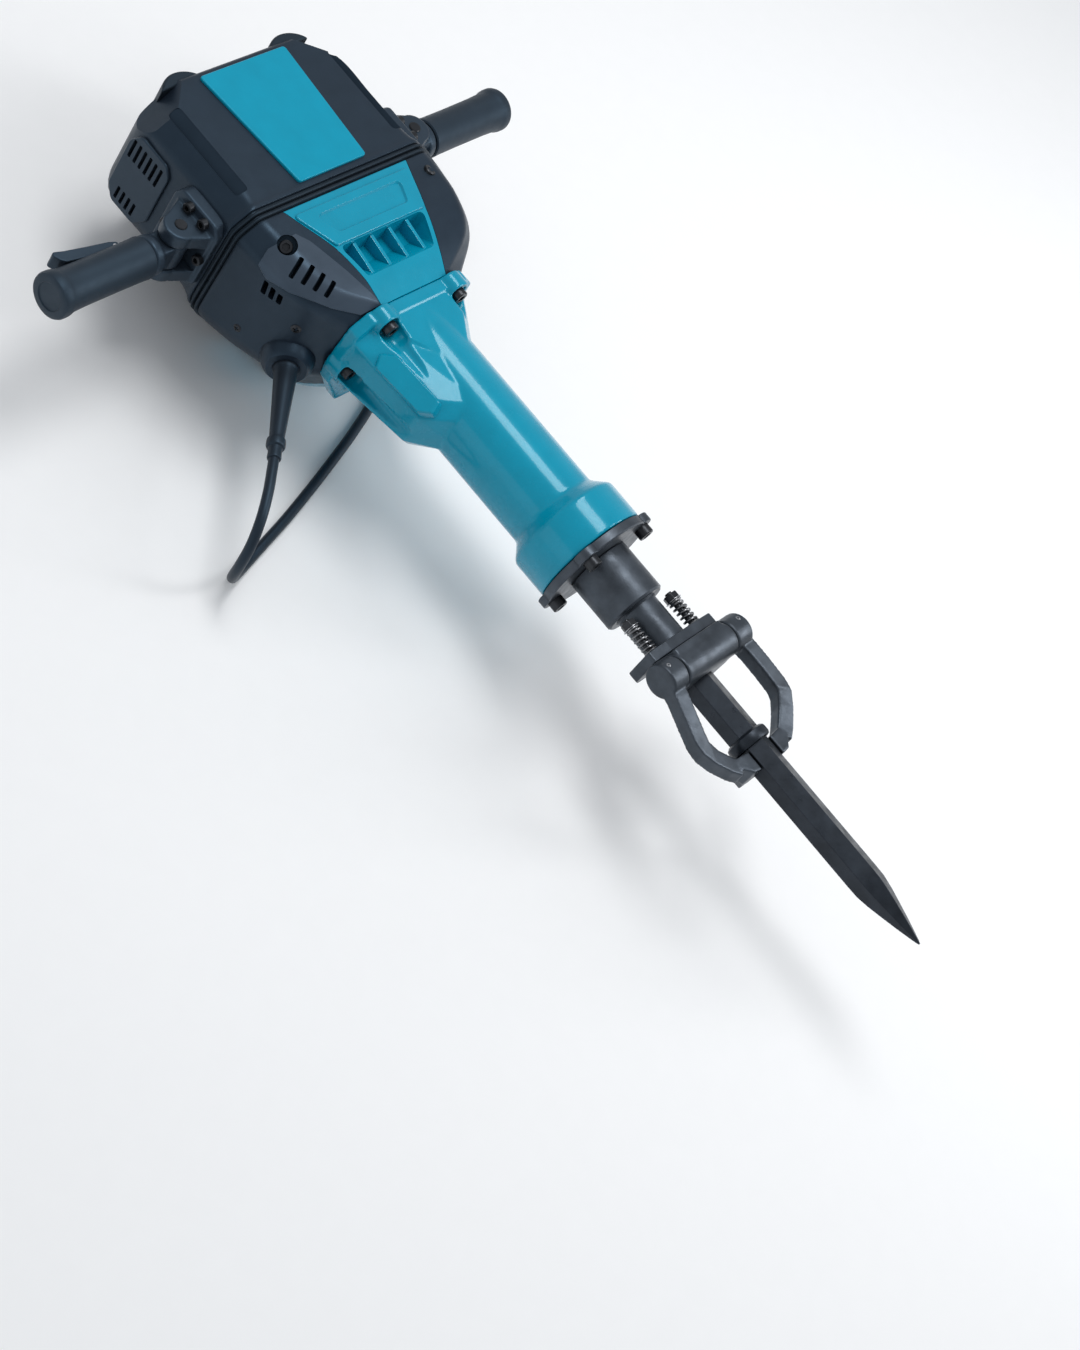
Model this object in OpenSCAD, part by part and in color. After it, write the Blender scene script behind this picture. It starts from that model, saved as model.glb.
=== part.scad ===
// Heavy electric breaker lying on its back. The chisel axis runs along Y with the point at +Y,
// X runs across the handles with the trigger handle at +X, and the front face looks up (+Z).
// Inside the modules Y is measured from the top end of the tool and Z from the chisel axis.

/* [Overall] */
// Length from the top bumpers to the tip of the chisel
total_len = 1029; // [1000:1:1060]
// Height of the chisel axis above the surface that the tool lies on
axis_h = 137; // [137:1:150]
// Width over the two grips
grips_w = 604; // [590:2:620]

/* [Housings] */
// Wall of the moulded and cast housings
wall = 6; // [4:0.5:7]
// Top end of the motor housing, below the bumpers
top_y = 9; // [6:1:12]
// Lower edge of the motor housing at the seam
seam_y0 = 158; // [156:1:160]
// Upper edge of the crank housing at the seam
seam_y1 = 170; // [168:1:172]
// Joint between crank housing and barrel
barrel_y = 283; // [280:1:286]
// Half width of the motor housing
motor_w = 126; // [122:1:130]
// Half width at the seam
seam_w = 131; // [128:1:134]
// Front face above the chisel axis
front_z = 68; // [64:1:70]
// Depth of the back below the chisel axis
back_z = 131; // [128:1:132]

/* [Barrel] */
// Outer radius of the barrel
barrel_r = 44; // [42:0.5:46]
// Outer radius of the front flange
flange_r = 57; // [55:0.5:58]
// Start of the flange shoulder
flange_y0 = 518; // [515:1:520]
// End of the cast flange
flange_y1 = 571; // [568:1:574]
// Thickness of the flange plate
plate_t = 10; // [8:1:12]
// Outer radius of the cylinder tube
cyl_ro = 33; // [32:0.5:33.5]
// Bore radius of the cylinder tube
cyl_ri = 26; // [25:0.5:27]

/* [Tool holder and retainer] */
// Radius of the holder sleeve
sleeve_r = 31; // [30:0.5:33]
// End of the holder sleeve
sleeve_y1 = 635; // [630:1:640]
// Radius of the holder neck
neck_r = 21; // [20:0.5:22]
// Across flats of the hex shank
hex_af = 28.6; // [28:0.1:29]
// Clearance of the shank in the hex bore, per side
hex_gap = 0.3; // [0.2:0.1:0.6]
// Retainer pivot along the tool
pivot_y = 707; // [705:1:710]
// Retainer pivot in front of the chisel axis
pivot_z = 24; // [23:0.5:26]
// Radius of the pivot pin
pivot_r = 6; // [5:0.5:6]
// Radius of the hub and of the yoke ears
hub_r = 17; // [16:0.5:18]
// Half length of the hub between the ears
hub_half = 37.5; // [36:0.5:38]
// Outer half width over the yoke ears
ear_half = 60; // [56:1:62]
// Underside of the yoke feet
foot_y1 = 821; // [819:1:824]

/* [Chisel] */
// Top of the chisel shank inside the holder
bit_y0 = 625; // [622:1:628]
// Underside of the chisel collar
collar_y1 = 799; // [797:1:800]
// Radius of the chisel collar
collar_r = 21; // [20:0.5:22]
// Start of the pointed end
point_y = 962; // [955:1:970]

/* [Handles] */
// Distance of the handles from the top end
handle_y = 128; // [126:1:130]
// Radius of the grips
grip_r = 20; // [19:0.5:21]
// Inner end of the grips
grip_x0 = 190; // [188:1:194]
// Handle pivot, from the middle of the tool
rock_x = 158; // [156:1:160]

/* [Cord] */
// Diameter of the cord
cord_d = 10; // [9:0.5:10]
// Length of the bend guard
guard_len = 130; // [120:5:140]

/* [Hidden] */

$fn = 48;
eps = 0.01;
fit = 0.05;          // radial clearance of a running fit
gap = 0.3;           // clearance between parts that pass each other
half_len = total_len / 2;
plate_y1 = flange_y1 + plate_t;
hex_r = hex_af / 2 / cos(30);

// Motor, idler and crank axes, all parallel to X, as [y, z]
motor_c = [62, -20];
crank_c = [186, 0];
pinion_n = 10;
wheel_n = 50;
small_n = 14;
crank_n = 40;
fine_m = 2;
coarse_m = 2.5;
mesh_1 = fine_m * (pinion_n + wheel_n) / 2;
mesh_2 = coarse_m * (small_n + crank_n) / 2;
mc = norm(crank_c - motor_c);
mc_u = (crank_c - motor_c) / mc;
mesh_a = (mesh_1 * mesh_1 - mesh_2 * mesh_2 + mc * mc) / (2 * mc);
mesh_h = sqrt(mesh_1 * mesh_1 - mesh_a * mesh_a);
idler_c = motor_c + mesh_a * mc_u + mesh_h * [mc_u[1], -mc_u[0]];
wheel_x = [-79, -67];
small_x = [-62, -46];
crank_gear_x = [-60, -48];
crank_throw = 20;
rod_len = 85;

// Chisel retainer
block_y0 = 690;
block_y1 = 724;
plate_y = [678.5, 689.5];
spring_x = 32;
spring_z = 12;
spring_y0 = 650;

// Cord: where it leaves the left cover, as an angle from X towards Y
guard_dir = 41.5;
guard_o = [88, 246, -30];
coil_c = [-200, 40];
coil_ri = 40;
coil_ro = 70;
coil_h = 40;
plug_r = 19;
plug_tail = 26;
plug_c = [-148, 34, coil_h + plug_r];
// Route as [x, y, height above the floor]: straight out of the guard, down in a half turn,
// back under the barrel and along the far side of the housing into the coil
run_route = [
  [192.9, 338.8, 107], [206, 350, 107], [222, 364, 105], [241, 380, 97], [254, 391, 80], [259, 395, 56],
  [253, 393, 31], [236, 388, 12], [212, 381, 5], [180, 372, 5], [140, 361, 5], [95, 347, 5], [50, 332, 5],
  [5, 316, 5], [-40, 297, 5], [-80, 271, 5], [-110, 236, 5], [-128, 194, 5], [-136, 150, 5], [-137, 110, 5],
  [-135, 76, 5]
];
// Route from the top turn of the coil up into the plug that lies on it
tail_route = [[-172, 98, 36], [-160, 90, 40], [-152, 79, 48], [-148.5, 68, 56], [-148, 60, 59]];

// ---------------------------------------------------------------- placing
module tool() translate([0, -half_len, axis_h]) children();
// Outline of [x, z] points, extruded from y0 to y1
module slab_y(pts, y0, y1) translate([0, y1, 0]) rotate([90, 0, 0]) linear_extrude(y1 - y0) polygon(pts);
// Outline of [y, z] points, extruded from x0 to x1
module slab_x(pts, x0, x1) translate([x0, 0, 0]) rotate([90, 0, 90]) linear_extrude(x1 - x0) polygon(pts);
// Outline of [x, y] points, extruded from z0 to z1
module slab_z(pts, z0, z1) translate([0, 0, z0]) linear_extrude(z1 - z0) polygon(pts);
module rod_y(r, y0, y1, x = 0, z = 0) translate([x, y0, z]) rotate([-90, 0, 0]) cylinder(r = r, h = y1 - y0);
module cone_y(r0, r1, y0, y1) translate([0, y0, 0]) rotate([-90, 0, 0])
  cylinder(r1 = r0, r2 = r1, h = y1 - y0);
module rod_x(r, x0, x1, c) translate([x0, c[0], c[1]]) rotate([0, 90, 0]) cylinder(r = r, h = x1 - x0);
module rod_z(r, z0, z1, x, y) translate([x, y, z0]) cylinder(r = r, h = z1 - z0);
module ring_y(ro, ri, y0, y1) difference() { rod_y(ro, y0, y1); rod_y(ri, y0 - 1, y1 + 1); }
module ring_x(ro, ri, x0, x1, c) difference() { rod_x(ro, x0, x1, c); rod_x(ri, x0 - 1, x1 + 1, c); }
module both() for (s = [0, 1]) mirror([s, 0, 0]) children();
function mirrored(p) = concat(p, [for (i = [len(p) - 1:-1:0]) [-p[i][0], p[i][1]]]);

// ---------------------------------------------------------------- housings
// Half outline [x, z] of a housing section: front flat, bevel, side, back bevel, back flat
function section(front_x, front, w, side_z0, side_z1, back_x, back) =
  mirrored([[front_x, front], [w, side_z0], [w, -side_z1], [back_x, -back]]);
function motor_section(t) =
  section(106 - t / 2, front_z - t, motor_w - t, 49 - t / 2, 50 - t / 2, 46 - t / 2, back_z - t);
function seam_section(t) = section(111 - t / 2, front_z - t, seam_w - t, 51 - t / 2, 54 - t / 2, 54 - t / 2,
  back_z - max(t, 0));
function crank_mid(t) =
  section(106 - t / 2, front_z - t, 124 - t, 48 - t / 2, 48 - t / 2, 36 - t / 2, back_z - t);
function crank_low(t) = section(92 - t / 2, 60 - t, 111 - t, 44 - t / 2, 46 - t / 2, 34 - t / 2, 116 - t);
function crank_end(t) = section(44 - t / 2, 47 - t, 79 - t, 34 - t / 2, 38 - t / 2, 28 - t / 2, 90 - t);

// Motor housing outline: corners of the top end cut back, and a slanted facet on each front corner
module motor_body(t) difference() {
  intersection() {
    slab_y(motor_section(t), top_y + t, seam_y0);
    slab_x([[top_y, 50], [top_y, -90], [top_y + 41, -back_z - 1], [seam_y0, -back_z - 1], [seam_y0, 100],
      [top_y + 8, 100]], -200, 200);
    slab_z(mirrored([[108 - t / 2, top_y], [motor_w + 1, top_y + 15], [motor_w + 1, seam_y0]]), -200, 200);
  }
  both() translate([104, 40, 66] - t * [0.55, -0.58, 0.59]) rotate([0, 53.6, -46.5])
    translate([-100, -100, 0]) cube([200, 200, 90]);
}

// Bearing boss, bearing web and stator seats that stand on the inside of the front wall
module motor_webs() {
  rod_x(24, 86, motor_w - wall + 1, motor_c);
  slab_x([[40, -42], [84, -42], [84, front_z - wall + 1], [40, front_z - wall + 1]], -65, -57);
  for (x = [-20, 30])
    slab_x([[34, 6], [90, 6], [90, front_z - wall + 1], [34, front_z - wall + 1]], x, x + 6);
}
module motor_housing() color("#2f363d") tool() difference() {
  union() {
    difference() {
      motor_body(0);
      translate([0, eps, 0]) motor_body(wall);
    }
    motor_webs();
  }
  rod_x(16, 84, 101, motor_c);
  rod_x(14, -66, -56, motor_c);
  rod_x(45, -32, 48, motor_c);
  // windows behind the slotted end covers
  both() translate([motor_w - 10, 32, -44]) cube([20, 42, 76]);
  // recessed strips beside the front panel
  both() slab_z([[84, 34], [96, 34], [100, 138], [88, 138]], front_z - 2.5, front_z + 1);
}
module front_panel() color("#0a8fae") tool()
  slab_z(mirrored([[56, 17], [45, 151]]), front_z, front_z + 3);
module top_bumpers() color("#22272c") tool() both() intersection() {
  translate([70, top_y + 23, -60]) cylinder(r = 32, h = 124);
  translate([30, 0, -60]) cube([80, top_y, 124]);
}
module end_cover() difference() {
  slab_x([[26, -34], [36, -48], [68, -48], [80, -32], [80, 28], [72, 38], [34, 38], [26, 26]],
    motor_w, motor_w + 3);
  for (i = [0:5]) translate([motor_w - 1, 31 + 7.4 * i, 8]) cube([6, 3.4, 22]);
  for (i = [0:3]) translate([motor_w - 1, 38 + 7.4 * i, -42]) cube([6, 3.4, 15]);
}
module motor_end_cover_left() color("#3a4249") tool() end_cover();
module motor_end_cover_right() color("#3a4249") tool() mirror([1, 0, 0]) end_cover();

module seam_gasket() color("#1c1f23") tool() difference() {
  union() {
    slab_y(seam_section(3), seam_y0, seam_y1);
    for (y = [seam_y0 + 2, seam_y0 + 7.5]) slab_y(seam_section(-1.5), y, y + 3);
  }
  slab_y(seam_section(13), seam_y0 - 1, seam_y1 + 1);
}
module back_pad() color("#1c1f23") tool()
  slab_y([[-40, -back_z], [40, -back_z], [34, -axis_h], [-34, -axis_h]], 54, 224);

// ---------------------------------------------------------------- crank housing
module crank_form(t, y1) hull() {
  slab_y(seam_section(t), seam_y1, seam_y1 + 12);
  slab_y(crank_mid(t), 222, 226);
  slab_y(crank_low(t), 256, 258);
  slab_y(crank_end(t), y1 - 1, y1);
}
module crank_shell() difference() {
  crank_form(0, barrel_y);
  translate([0, -eps, 0]) crank_form(wall, barrel_y - 8);
  rod_y(cyl_ro + 0.2, barrel_y - 10, barrel_y + 1);
}
// The cast middle: everything between the two side covers
module middle(g)
  slab_z(mirrored([[84 + g, seam_y1 - 1], [62 + g, 222], [50 + g, 260], [43 + g, barrel_y + 1]]), -200, 200);
module crank_case() color("#0a8fae") tool() difference() {
  union() {
    intersection() { crank_shell(); middle(0); }
    intersection() { slab_x([[219, 66], [219, 47], [258, 47], [266, 58]], -60, 60); middle(0); }
  }
  // pocket below the front cover, open to the front
  intersection() { slab_x([[223, front_z + 5], [223, 52], [254, 52], [263, 70]], -60, 60); middle(-5); }
}
module crank_front_cover() color("#0b96b6") tool()
  slab_z(mirrored([[66, 176], [56, 208]]), front_z, front_z + 4);
module side_cover() difference() {
  crank_shell();
  middle(0.2);
  translate([-200, 100, -200]) cube([200, 400, 400]);
}
module side_cover_left() color("#2f363d") tool() difference() {
  side_cover();
  gland(13.3, -60, 60);
  for (i = [0:3]) translate([104 - 4 * i, 196 + 7 * i, 30]) rotate([0, 0, 20]) cube([6, 3.4, 50]);
}
module side_cover_right() color("#2f363d") tool() mirror([1, 0, 0]) side_cover();
module cover_screws() color("#55595e") tool() both() rod_z(4.5, front_z, front_z + 2, 98, 186);

// ---------------------------------------------------------------- barrel
bolt_front = [48, 40];
bolt_side = [72, -12];
bolt_y = 300;
module barrel_outer() {
  rod_y(barrel_r, barrel_y, flange_y0 + 2);
  cone_y(barrel_r, flange_r, flange_y0, 531);
  rod_y(flange_r, 531 - eps, flange_y1);
  // flange at the crank housing
  slab_y(mirrored([[44, 46.5], [62, 46], [79, 30], [79, -36], [40, -78]]), barrel_y, 300);
  // webs that run down to the round barrel, longer on the cord side
  hull() {
    slab_y(mirrored([[40, 44], [60, 44], [76, 28], [76, -30], [36, -70]]), barrel_y + 2, 300);
    slab_y(mirrored([[20, 40], [40, 18], [40, -18], [20, -40]]), 344, 346);
  }
  hull() {
    slab_y([[20, 36], [58, 32], [70, 4], [66, -28], [20, -44]], 298, 380);
    slab_y([[10, 34], [34, 20], [40, -8], [34, -20], [10, -34]], 408, 410);
  }
}
module barrel_housing() color("#0a8fae") tool() difference() {
  barrel_outer();
  rod_y(cyl_ro + 0.2, barrel_y - 1, flange_y1 + 1);
  for (s = [-1, 1]) {
    rod_y(11, bolt_y, 420, s * bolt_front[0], bolt_front[1]);
    rod_y(11, bolt_y, 420, s * bolt_side[0], bolt_side[1]);
    for (z = [-1, 1]) rod_y(4.2, flange_y1 - 26, flange_y1 + 1, s * 38, z * 34);
  }
}
module cap_screw_y(x, z, y, r = 7.5, h = 8) difference() {
  rod_y(r, y, y + h, x, z);
  translate([x, y + h / 2, z]) rotate([-90, 0, 0]) cylinder(r = r * 0.5, h = h, $fn = 6);
}
module barrel_bolts() color("#33373c") tool() for (s = [-1, 1]) {
  cap_screw_y(s * bolt_front[0], bolt_front[1], bolt_y, 8);
  cap_screw_y(s * bolt_side[0], bolt_side[1], bolt_y, 8);
}
module flange_plate() color("#3b3f45") tool() difference() {
  rod_y(flange_r + 0.5, flange_y1, plate_y1);
  rod_y(sleeve_r - 4, flange_y1 - 1, plate_y1 + 1);
  for (s = [-1, 1]) for (z = [-1, 1]) rod_y(4.2, flange_y1 - 1, plate_y1 + 1, s * 38, z * 34);
}
module flange_bolts() color("#2b2e33") tool() for (s = [-1, 1]) for (z = [-1, 1]) {
  rod_y(4.2, flange_y1 - 26, plate_y1, s * 38, z * 34);
  cap_screw_y(s * 38, z * 34, plate_y1, 7.5, 9);
}
module cylinder_tube() color("#9aa0a6") tool() ring_y(cyl_ro, cyl_ri, 262, flange_y1 - 46);

// ---------------------------------------------------------------- tool holder and retainer
module hex_y(r, y0, y1) translate([0, y0, 0]) rotate([-90, 0, 0]) rotate(30)
  cylinder(r = r, h = y1 - y0, $fn = 6);
module tool_holder() color("#41464d") tool() difference() {
  union() {
    rod_y(sleeve_r, plate_y1, sleeve_y1);
    rod_y(neck_r, sleeve_y1 - eps, block_y0 + 1);
    translate([-hub_half, block_y0, -22]) cube([2 * hub_half, block_y1 - block_y0, 44]);
    rod_x(hub_r, -hub_half, hub_half, [pivot_y, pivot_z]);
  }
  hex_y(hex_r + hex_gap, plate_y1 - 1, block_y1 + 1);
  rod_x(pivot_r + fit, -hub_half - 1, hub_half + 1, [pivot_y, pivot_z]);
  for (s = [-1, 1]) rod_y(3.5, block_y0 - 1, 702, s * spring_x, spring_z);
}
module retainer_bolts() color("#2b2e33") tool() for (s = [-1, 1]) {
  rod_y(3.5, spring_y0, 702, s * spring_x, spring_z);
  translate([s * spring_x, spring_y0 - 7, spring_z]) rotate([-90, 0, 0]) cylinder(r = 7.5, h = 7, $fn = 6);
}
module retainer_plate() color("#5a6068") tool() difference() {
  slab_y(mirrored([[24, 26], [47, 22], [48, 18], [48, -12], [40, -20]]), plate_y[0], plate_y[1]);
  rod_y(neck_r + gap, plate_y[0] - 1, plate_y[1] + 1);
  for (s = [-1, 1]) rod_y(3.5 + gap, plate_y[0] - 1, plate_y[1] + 1, s * spring_x, spring_z);
}
module retainer_springs() color("#8c9197") tool() both() difference() {
  rod_y(7, spring_y0, plate_y[0], spring_x, spring_z);
  rod_y(3.5 + gap, spring_y0 - 1, plate_y[0] + 1, spring_x, spring_z);
}
module pivot_pin() color("#6a7078") tool() rod_x(pivot_r, -ear_half + 1, ear_half - 1, [pivot_y, pivot_z]);

// One side of the yoke: ear, bent arm and inward foot. The foot's upper face follows an arc about the
// pivot, so that it clears the collar as the yoke swings back
arm_top = [51, pivot_y, pivot_z];
arm_bend = [62, 772, 10];
arm_foot = [36, 813, 0];
module ball(p, r) translate(p) sphere(r = r, $fn = 20);
module yoke_side() {
  difference() {
    rod_x(hub_r, hub_half + 0.5, ear_half, [pivot_y, pivot_z]);
    rod_x(pivot_r, 0, 100, [pivot_y, pivot_z]);
    rod_z(2, pivot_z, 60, 53, pivot_y);
  }
  difference() {
    hull() {
      ball(arm_top, 8.5);
      ball(arm_bend, 8.5);
    }
    rod_x(hub_r - 1, 0, 100, [pivot_y, pivot_z]);
  }
  hull() {
    ball(arm_bend, 8.5);
    ball(arm_foot, 7.5);
  }
  slab_x([[foot_y1, 8], [foot_y1, -26], [foot_y1 - 20, -26], [foot_y1 - 20, -14], [foot_y1 - 18.5, -8],
    [foot_y1 - 16.5, 0], [foot_y1 - 15, 8]], 15.2, 36);
}
// The feet join behind the shank
module yoke() color("#3f444b") tool() {
  both() yoke_side();
  slab_x([[foot_y1, -17.5], [foot_y1, -26], [foot_y1 - 20, -26], [foot_y1 - 20, -17.5]], -16, 16);
}
module yoke_roll_pins() color("#8c9197") tool() both()
  rod_z(2, pivot_z + pivot_r, pivot_z + hub_r - 0.6, 53, pivot_y);

module chisel() color("#2a2d31") tool() {
  hex_y(hex_r, bit_y0, point_y);
  rod_y(collar_r, collar_y1 - 12, collar_y1);
  cone_y(hex_af / 2 - 0.4, 1.2, point_y - eps, total_len);
}

// ---------------------------------------------------------------- handles
bracket_x0 = motor_w;
module bracket() difference() {
  union() {
    slab_x([[98, -34], [150, -34], [156, -26], [156, 34], [148, 44], [104, 44], [98, 34]],
      bracket_x0, bracket_x0 + 14);
    for (z = [[-26, -12], [20, 34]]) {
      slab_z([[bracket_x0 + 13, 104], [rock_x, 112], [rock_x, 144], [bracket_x0 + 13, 152]], z[0], z[1]);
      rod_z(16, z[0], z[1], rock_x, handle_y);
    }
  }
  rod_z(6, -40, 50, rock_x, handle_y);
}
module left_bracket() color("#363d44") tool() bracket();
module right_bracket() color("#363d44") tool() mirror([1, 0, 0]) bracket();
module bracket_bolts() color("#2b2e33") tool() both()
  for (p = [[105, 4], [151, 4], [118, 39.5], [138, 39.5]])
    translate([bracket_x0 + 14, p[0], p[1]]) rotate([0, 90, 0]) cylinder(r = 4.5, h = 6, $fn = 6);
module rock_pins() color("#6a7078") tool() both() rod_z(6, -28, 36, rock_x, handle_y);

// Tongue, neck and the core that the grip is moulded on
module handle_arm() difference() {
  union() {
    rod_z(15, -11, 19, rock_x, handle_y);
    translate([rock_x, handle_y - 13, -11]) cube([24, 26, 30]);
    rod_x(19, rock_x + 22, grip_x0, [handle_y, 4]);
    rod_x(11, grip_x0 - 1, grips_w / 2 - 8, [handle_y, 4]);
  }
  rod_z(6 + fit, -40, 50, rock_x, handle_y);
}
module left_handle_arm() color("#363d44") tool() handle_arm();
module right_handle_arm() color("#363d44") tool() mirror([1, 0, 0]) handle_arm();
module grip_form() difference() {
  union() {
    rod_x(grip_r, grip_x0, grips_w / 2 - 6, [handle_y, 4]);
    rod_x(grip_r + 2, grips_w / 2 - 12, grips_w / 2, [handle_y, 4]);
  }
  rod_x(11, grip_x0 - 1, grips_w / 2 - 8, [handle_y, 4]);
}
trigger_x = [208, 276];
module left_grip() color("#2a2f35") tool() difference() {
  grip_form();
  translate([trigger_x[0] - 3, handle_y - 30, 4 - 8.5]) cube([trigger_x[1] - trigger_x[0] + 6, 18, 17]);
}
module right_grip() color("#2a2f35") tool() mirror([1, 0, 0]) grip_form();
module trigger() color("#22272c") tool() difference() {
  slab_z([[trigger_x[0], 114], [trigger_x[0], 109], [trigger_x[0] + 8, 106], [262, 98], [271, 99], [274, 103],
    [272, 107], [240, 112], [216, 115.5]], 4 - 8, 4 + 8);
  rod_z(2 + fit, -20, 30, 213, 111);
}
module trigger_pin() color("#8c9197") tool() rod_z(2, 4 - 8.5, 4 + 8.5, 213, 111);
module switch() color("#30353a") tool() translate([motor_w - wall - 34, 96, -44]) cube([34, 46, 30]);

// ---------------------------------------------------------------- motor
module stator() color("#7a7f85") tool() ring_x(45, 30, -32, 48, motor_c);
module armature() color("#8a5a35") tool() {
  rod_x(29 - 0.5, -30, 45, motor_c);
  rod_x(6, -82, -29, motor_c);
  rod_x(8, 44, 100, motor_c);
  gear_x(pinion_n, fine_m, [-80, -66], motor_c, atan2(idler_c[1] - motor_c[1], idler_c[0] - motor_c[0]));
}
module commutator() color("#b87333") tool() ring_x(20, 8, 56, 82, motor_c);
module fan() color("#2c3238") tool() {
  ring_x(12, 6, -55, -40, motor_c);
  ring_x(38, 6, -43, -40, motor_c);
  for (i = [0:11]) translate([-55, motor_c[0], motor_c[1]]) rotate([i * 30, 0, 0])
    translate([0, 11.5, -1]) cube([12.5, 25, 2]);
}
module motor_bearings() color("#a9afb5") tool() {
  ring_x(16, 8 + fit, 86, 98, motor_c);
  ring_x(14, 6 + fit, -65, -57, motor_c);
}
module brush_holders() color("#b08d57") tool() for (s = [-1, 1])
  translate([60, motor_c[0] - 6, motor_c[1] + (s > 0 ? 20.4 : -44.4)]) cube([18, 12, 24]);

// Straight gear teeth: root, flank, tip, flank for each tooth
function tooth_points(n, m, a) =
  [for (i = [0:n - 1]) for (k = [[-0.29, -1.25], [-0.12, 0.8], [0.12, 0.8], [0.29, -1.25]])
  (m * (n / 2 + k[1])) * [cos(a + 360 * (i + k[0]) / n), sin(a + 360 * (i + k[0]) / n)]];
module gear_x(n, m, x, c, a) translate([0, c[0], c[1]]) slab_x(tooth_points(n, m, a), x[0], x[1]);
module gear_frame() color("#8f959b") tool() difference() {
  union() {
    for (x = [[-92, -82], [-44, -34]])
      slab_x([[102, -56], [102, 8], [148, 46], [172, 48], [178, front_z - wall], [208, front_z - wall], [217, 46],
        [246, 44], [246, -46], [150, -56]], x[0], x[1]);
    slab_x([[240, -40], [240, 40], [246, 40], [246, -40]], -83, -43);
  }
  rod_x(20, -93, -81, crank_c);
  rod_x(24, -45, -33, crank_c);
  rod_x(8 + fit, -93, -33, idler_c);
}
module idler_shaft() color("#8a9097") tool() {
  rod_x(8, -92, -34, idler_c);
  gear_x(wheel_n, fine_m, wheel_x, idler_c,
    atan2(motor_c[1] - idler_c[1], motor_c[0] - idler_c[0]) + 180 / wheel_n);
  gear_x(small_n, coarse_m, small_x, idler_c, atan2(crank_c[1] - idler_c[1], crank_c[0] - idler_c[0]));
}
module crankshaft() color("#8a9097") tool() {
  rod_x(10, -92, -60 + eps, crank_c);
  gear_x(crank_n, coarse_m, crank_gear_x, crank_c,
    atan2(idler_c[1] - crank_c[1], idler_c[0] - crank_c[0]) + 180 / crank_n);
  rod_x(12, -48 - eps, -30, crank_c);
  rod_x(30, -30 - eps, -18, crank_c);
  rod_x(7, -18 - eps, -10, crank_c - [crank_throw, 0]);
}
module crank_bearings() color("#a9afb5") tool() {
  ring_x(20, 10 + fit, -92, -82, crank_c);
  ring_x(24, 12 + fit, -44, -34, crank_c);
}
rod_c = crank_c - [crank_throw, 0];
pin_c = rod_c + [rod_len, 0];
module piston_rod() color("#8a9097") tool() difference() {
  union() {
    rod_x(16, -9, 9, rod_c);
    translate([-7, rod_c[0], -8]) cube([14, rod_len, 16]);
    rod_x(12, -8, 8, pin_c);
  }
  rod_x(7.1, -10, 10, rod_c);
  rod_x(5, -10, 10, pin_c);
}
module piston() color("#9aa0a6") tool() difference() {
  rod_y(cyl_ri - fit, 240, 300);
  translate([-8.2, 239, -13]) cube([16.4, 26, 26]);
  rod_x(5, -30, 30, pin_c);
}
module piston_pin() color("#6a7078") tool() rod_x(5, -23, 23, pin_c);
module striker() color("#7d838a") tool() rod_y(cyl_ri - fit, 350, 430);
module impact_bolt() color("#7d838a") tool() {
  rod_y(cyl_ri - 1, 505, 520);
  rod_y(13, 519, 574);
}
module impact_seal() color("#b8a77c") tool() ring_y(cyl_ro, 14, 526, 560);

// ---------------------------------------------------------------- cord
module gland(r, a, b) translate(guard_o) rotate([0, 0, guard_dir - 90]) rod_y(r, a, b);
module cord_clamp() color("#26292d") tool() difference() {
  gland(13, -12, 26);
  gland(11.2, 9.9, 30);
}
module cord_guard() color("#26292d") tool() translate(guard_o) rotate([0, 0, guard_dir - 90])
  cone_y(11, 7, 10, guard_len + 10);

// Tube of radius r swept along points p, one ring of n corners square to the path at each point
function heading(p, i) = let(a = p[max(i - 1, 0)], b = p[min(i + 1, len(p) - 1)]) (b - a) / norm(b - a);
function side(t) = let(s = cross(t, [0, 0, 1])) s / norm(s);
function ring(c, t, s, r, n) = let(w = cross(s, t))
  [for (k = [0:n - 1]) c + r * (cos(360 * k / n) * s + sin(360 * k / n) * w)];
// The ring's first axis is carried along the path, so that the tube doesn't twist
function carried(s, t) = let(v = s - (s * t) * t) v / norm(v);
function axes_along(p, i, s) = i == len(p) ? [] :
  let(t = heading(p, i), v = carried(s, t)) concat([v], axes_along(p, i + 1, v));
module tube(p, r, n) {
  axes = axes_along(p, 0, side(heading(p, 0)));
  points = [for (i = [0:len(p) - 1]) each ring(p[i], heading(p, i), axes[i], r, n)];
  walls = [for (i = [0:len(p) - 2]) for (k = [0:n - 1])
    let(k1 = (k + 1) % n) [i * n + k, i * n + k1, (i + 1) * n + k1, (i + 1) * n + k]];
  caps = [[for (k = [n - 1:-1:0]) k], [for (k = [0:n - 1]) (len(p) - 1) * n + k]];
  polyhedron(points, concat(walls, caps));
}
module on_floor() translate([0, -half_len, 0]) children();
// Points between the hand-chosen ones, on a smooth curve through them
function smooth(p, i, t) = let(a = p[max(i - 1, 0)], b = p[i], c = p[i + 1], d = p[min(i + 2, len(p) - 1)])
  0.5 * (2 * b + (c - a) * t + (2 * a - 5 * b + 4 * c - d) * t * t + (3 * b - 3 * c + d - a) * t * t * t);
function refined(p, n) =
  concat([for (i = [0:len(p) - 2]) for (k = [0:n - 1]) smooth(p, i, k / n)], [p[len(p) - 1]]);
module cord_run() color("#202326") on_floor() tube(refined(run_route, 2), cord_d / 2, 10);
module cord_tail() color("#202326") on_floor() tube(refined(tail_route, 2), cord_d / 2, 10);
module cord_coil() color("#202326") on_floor() translate([coil_c[0], coil_c[1], 0])
  rotate_extrude() translate([coil_ri, 0]) square([coil_ro - coil_ri, coil_h]);
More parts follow.
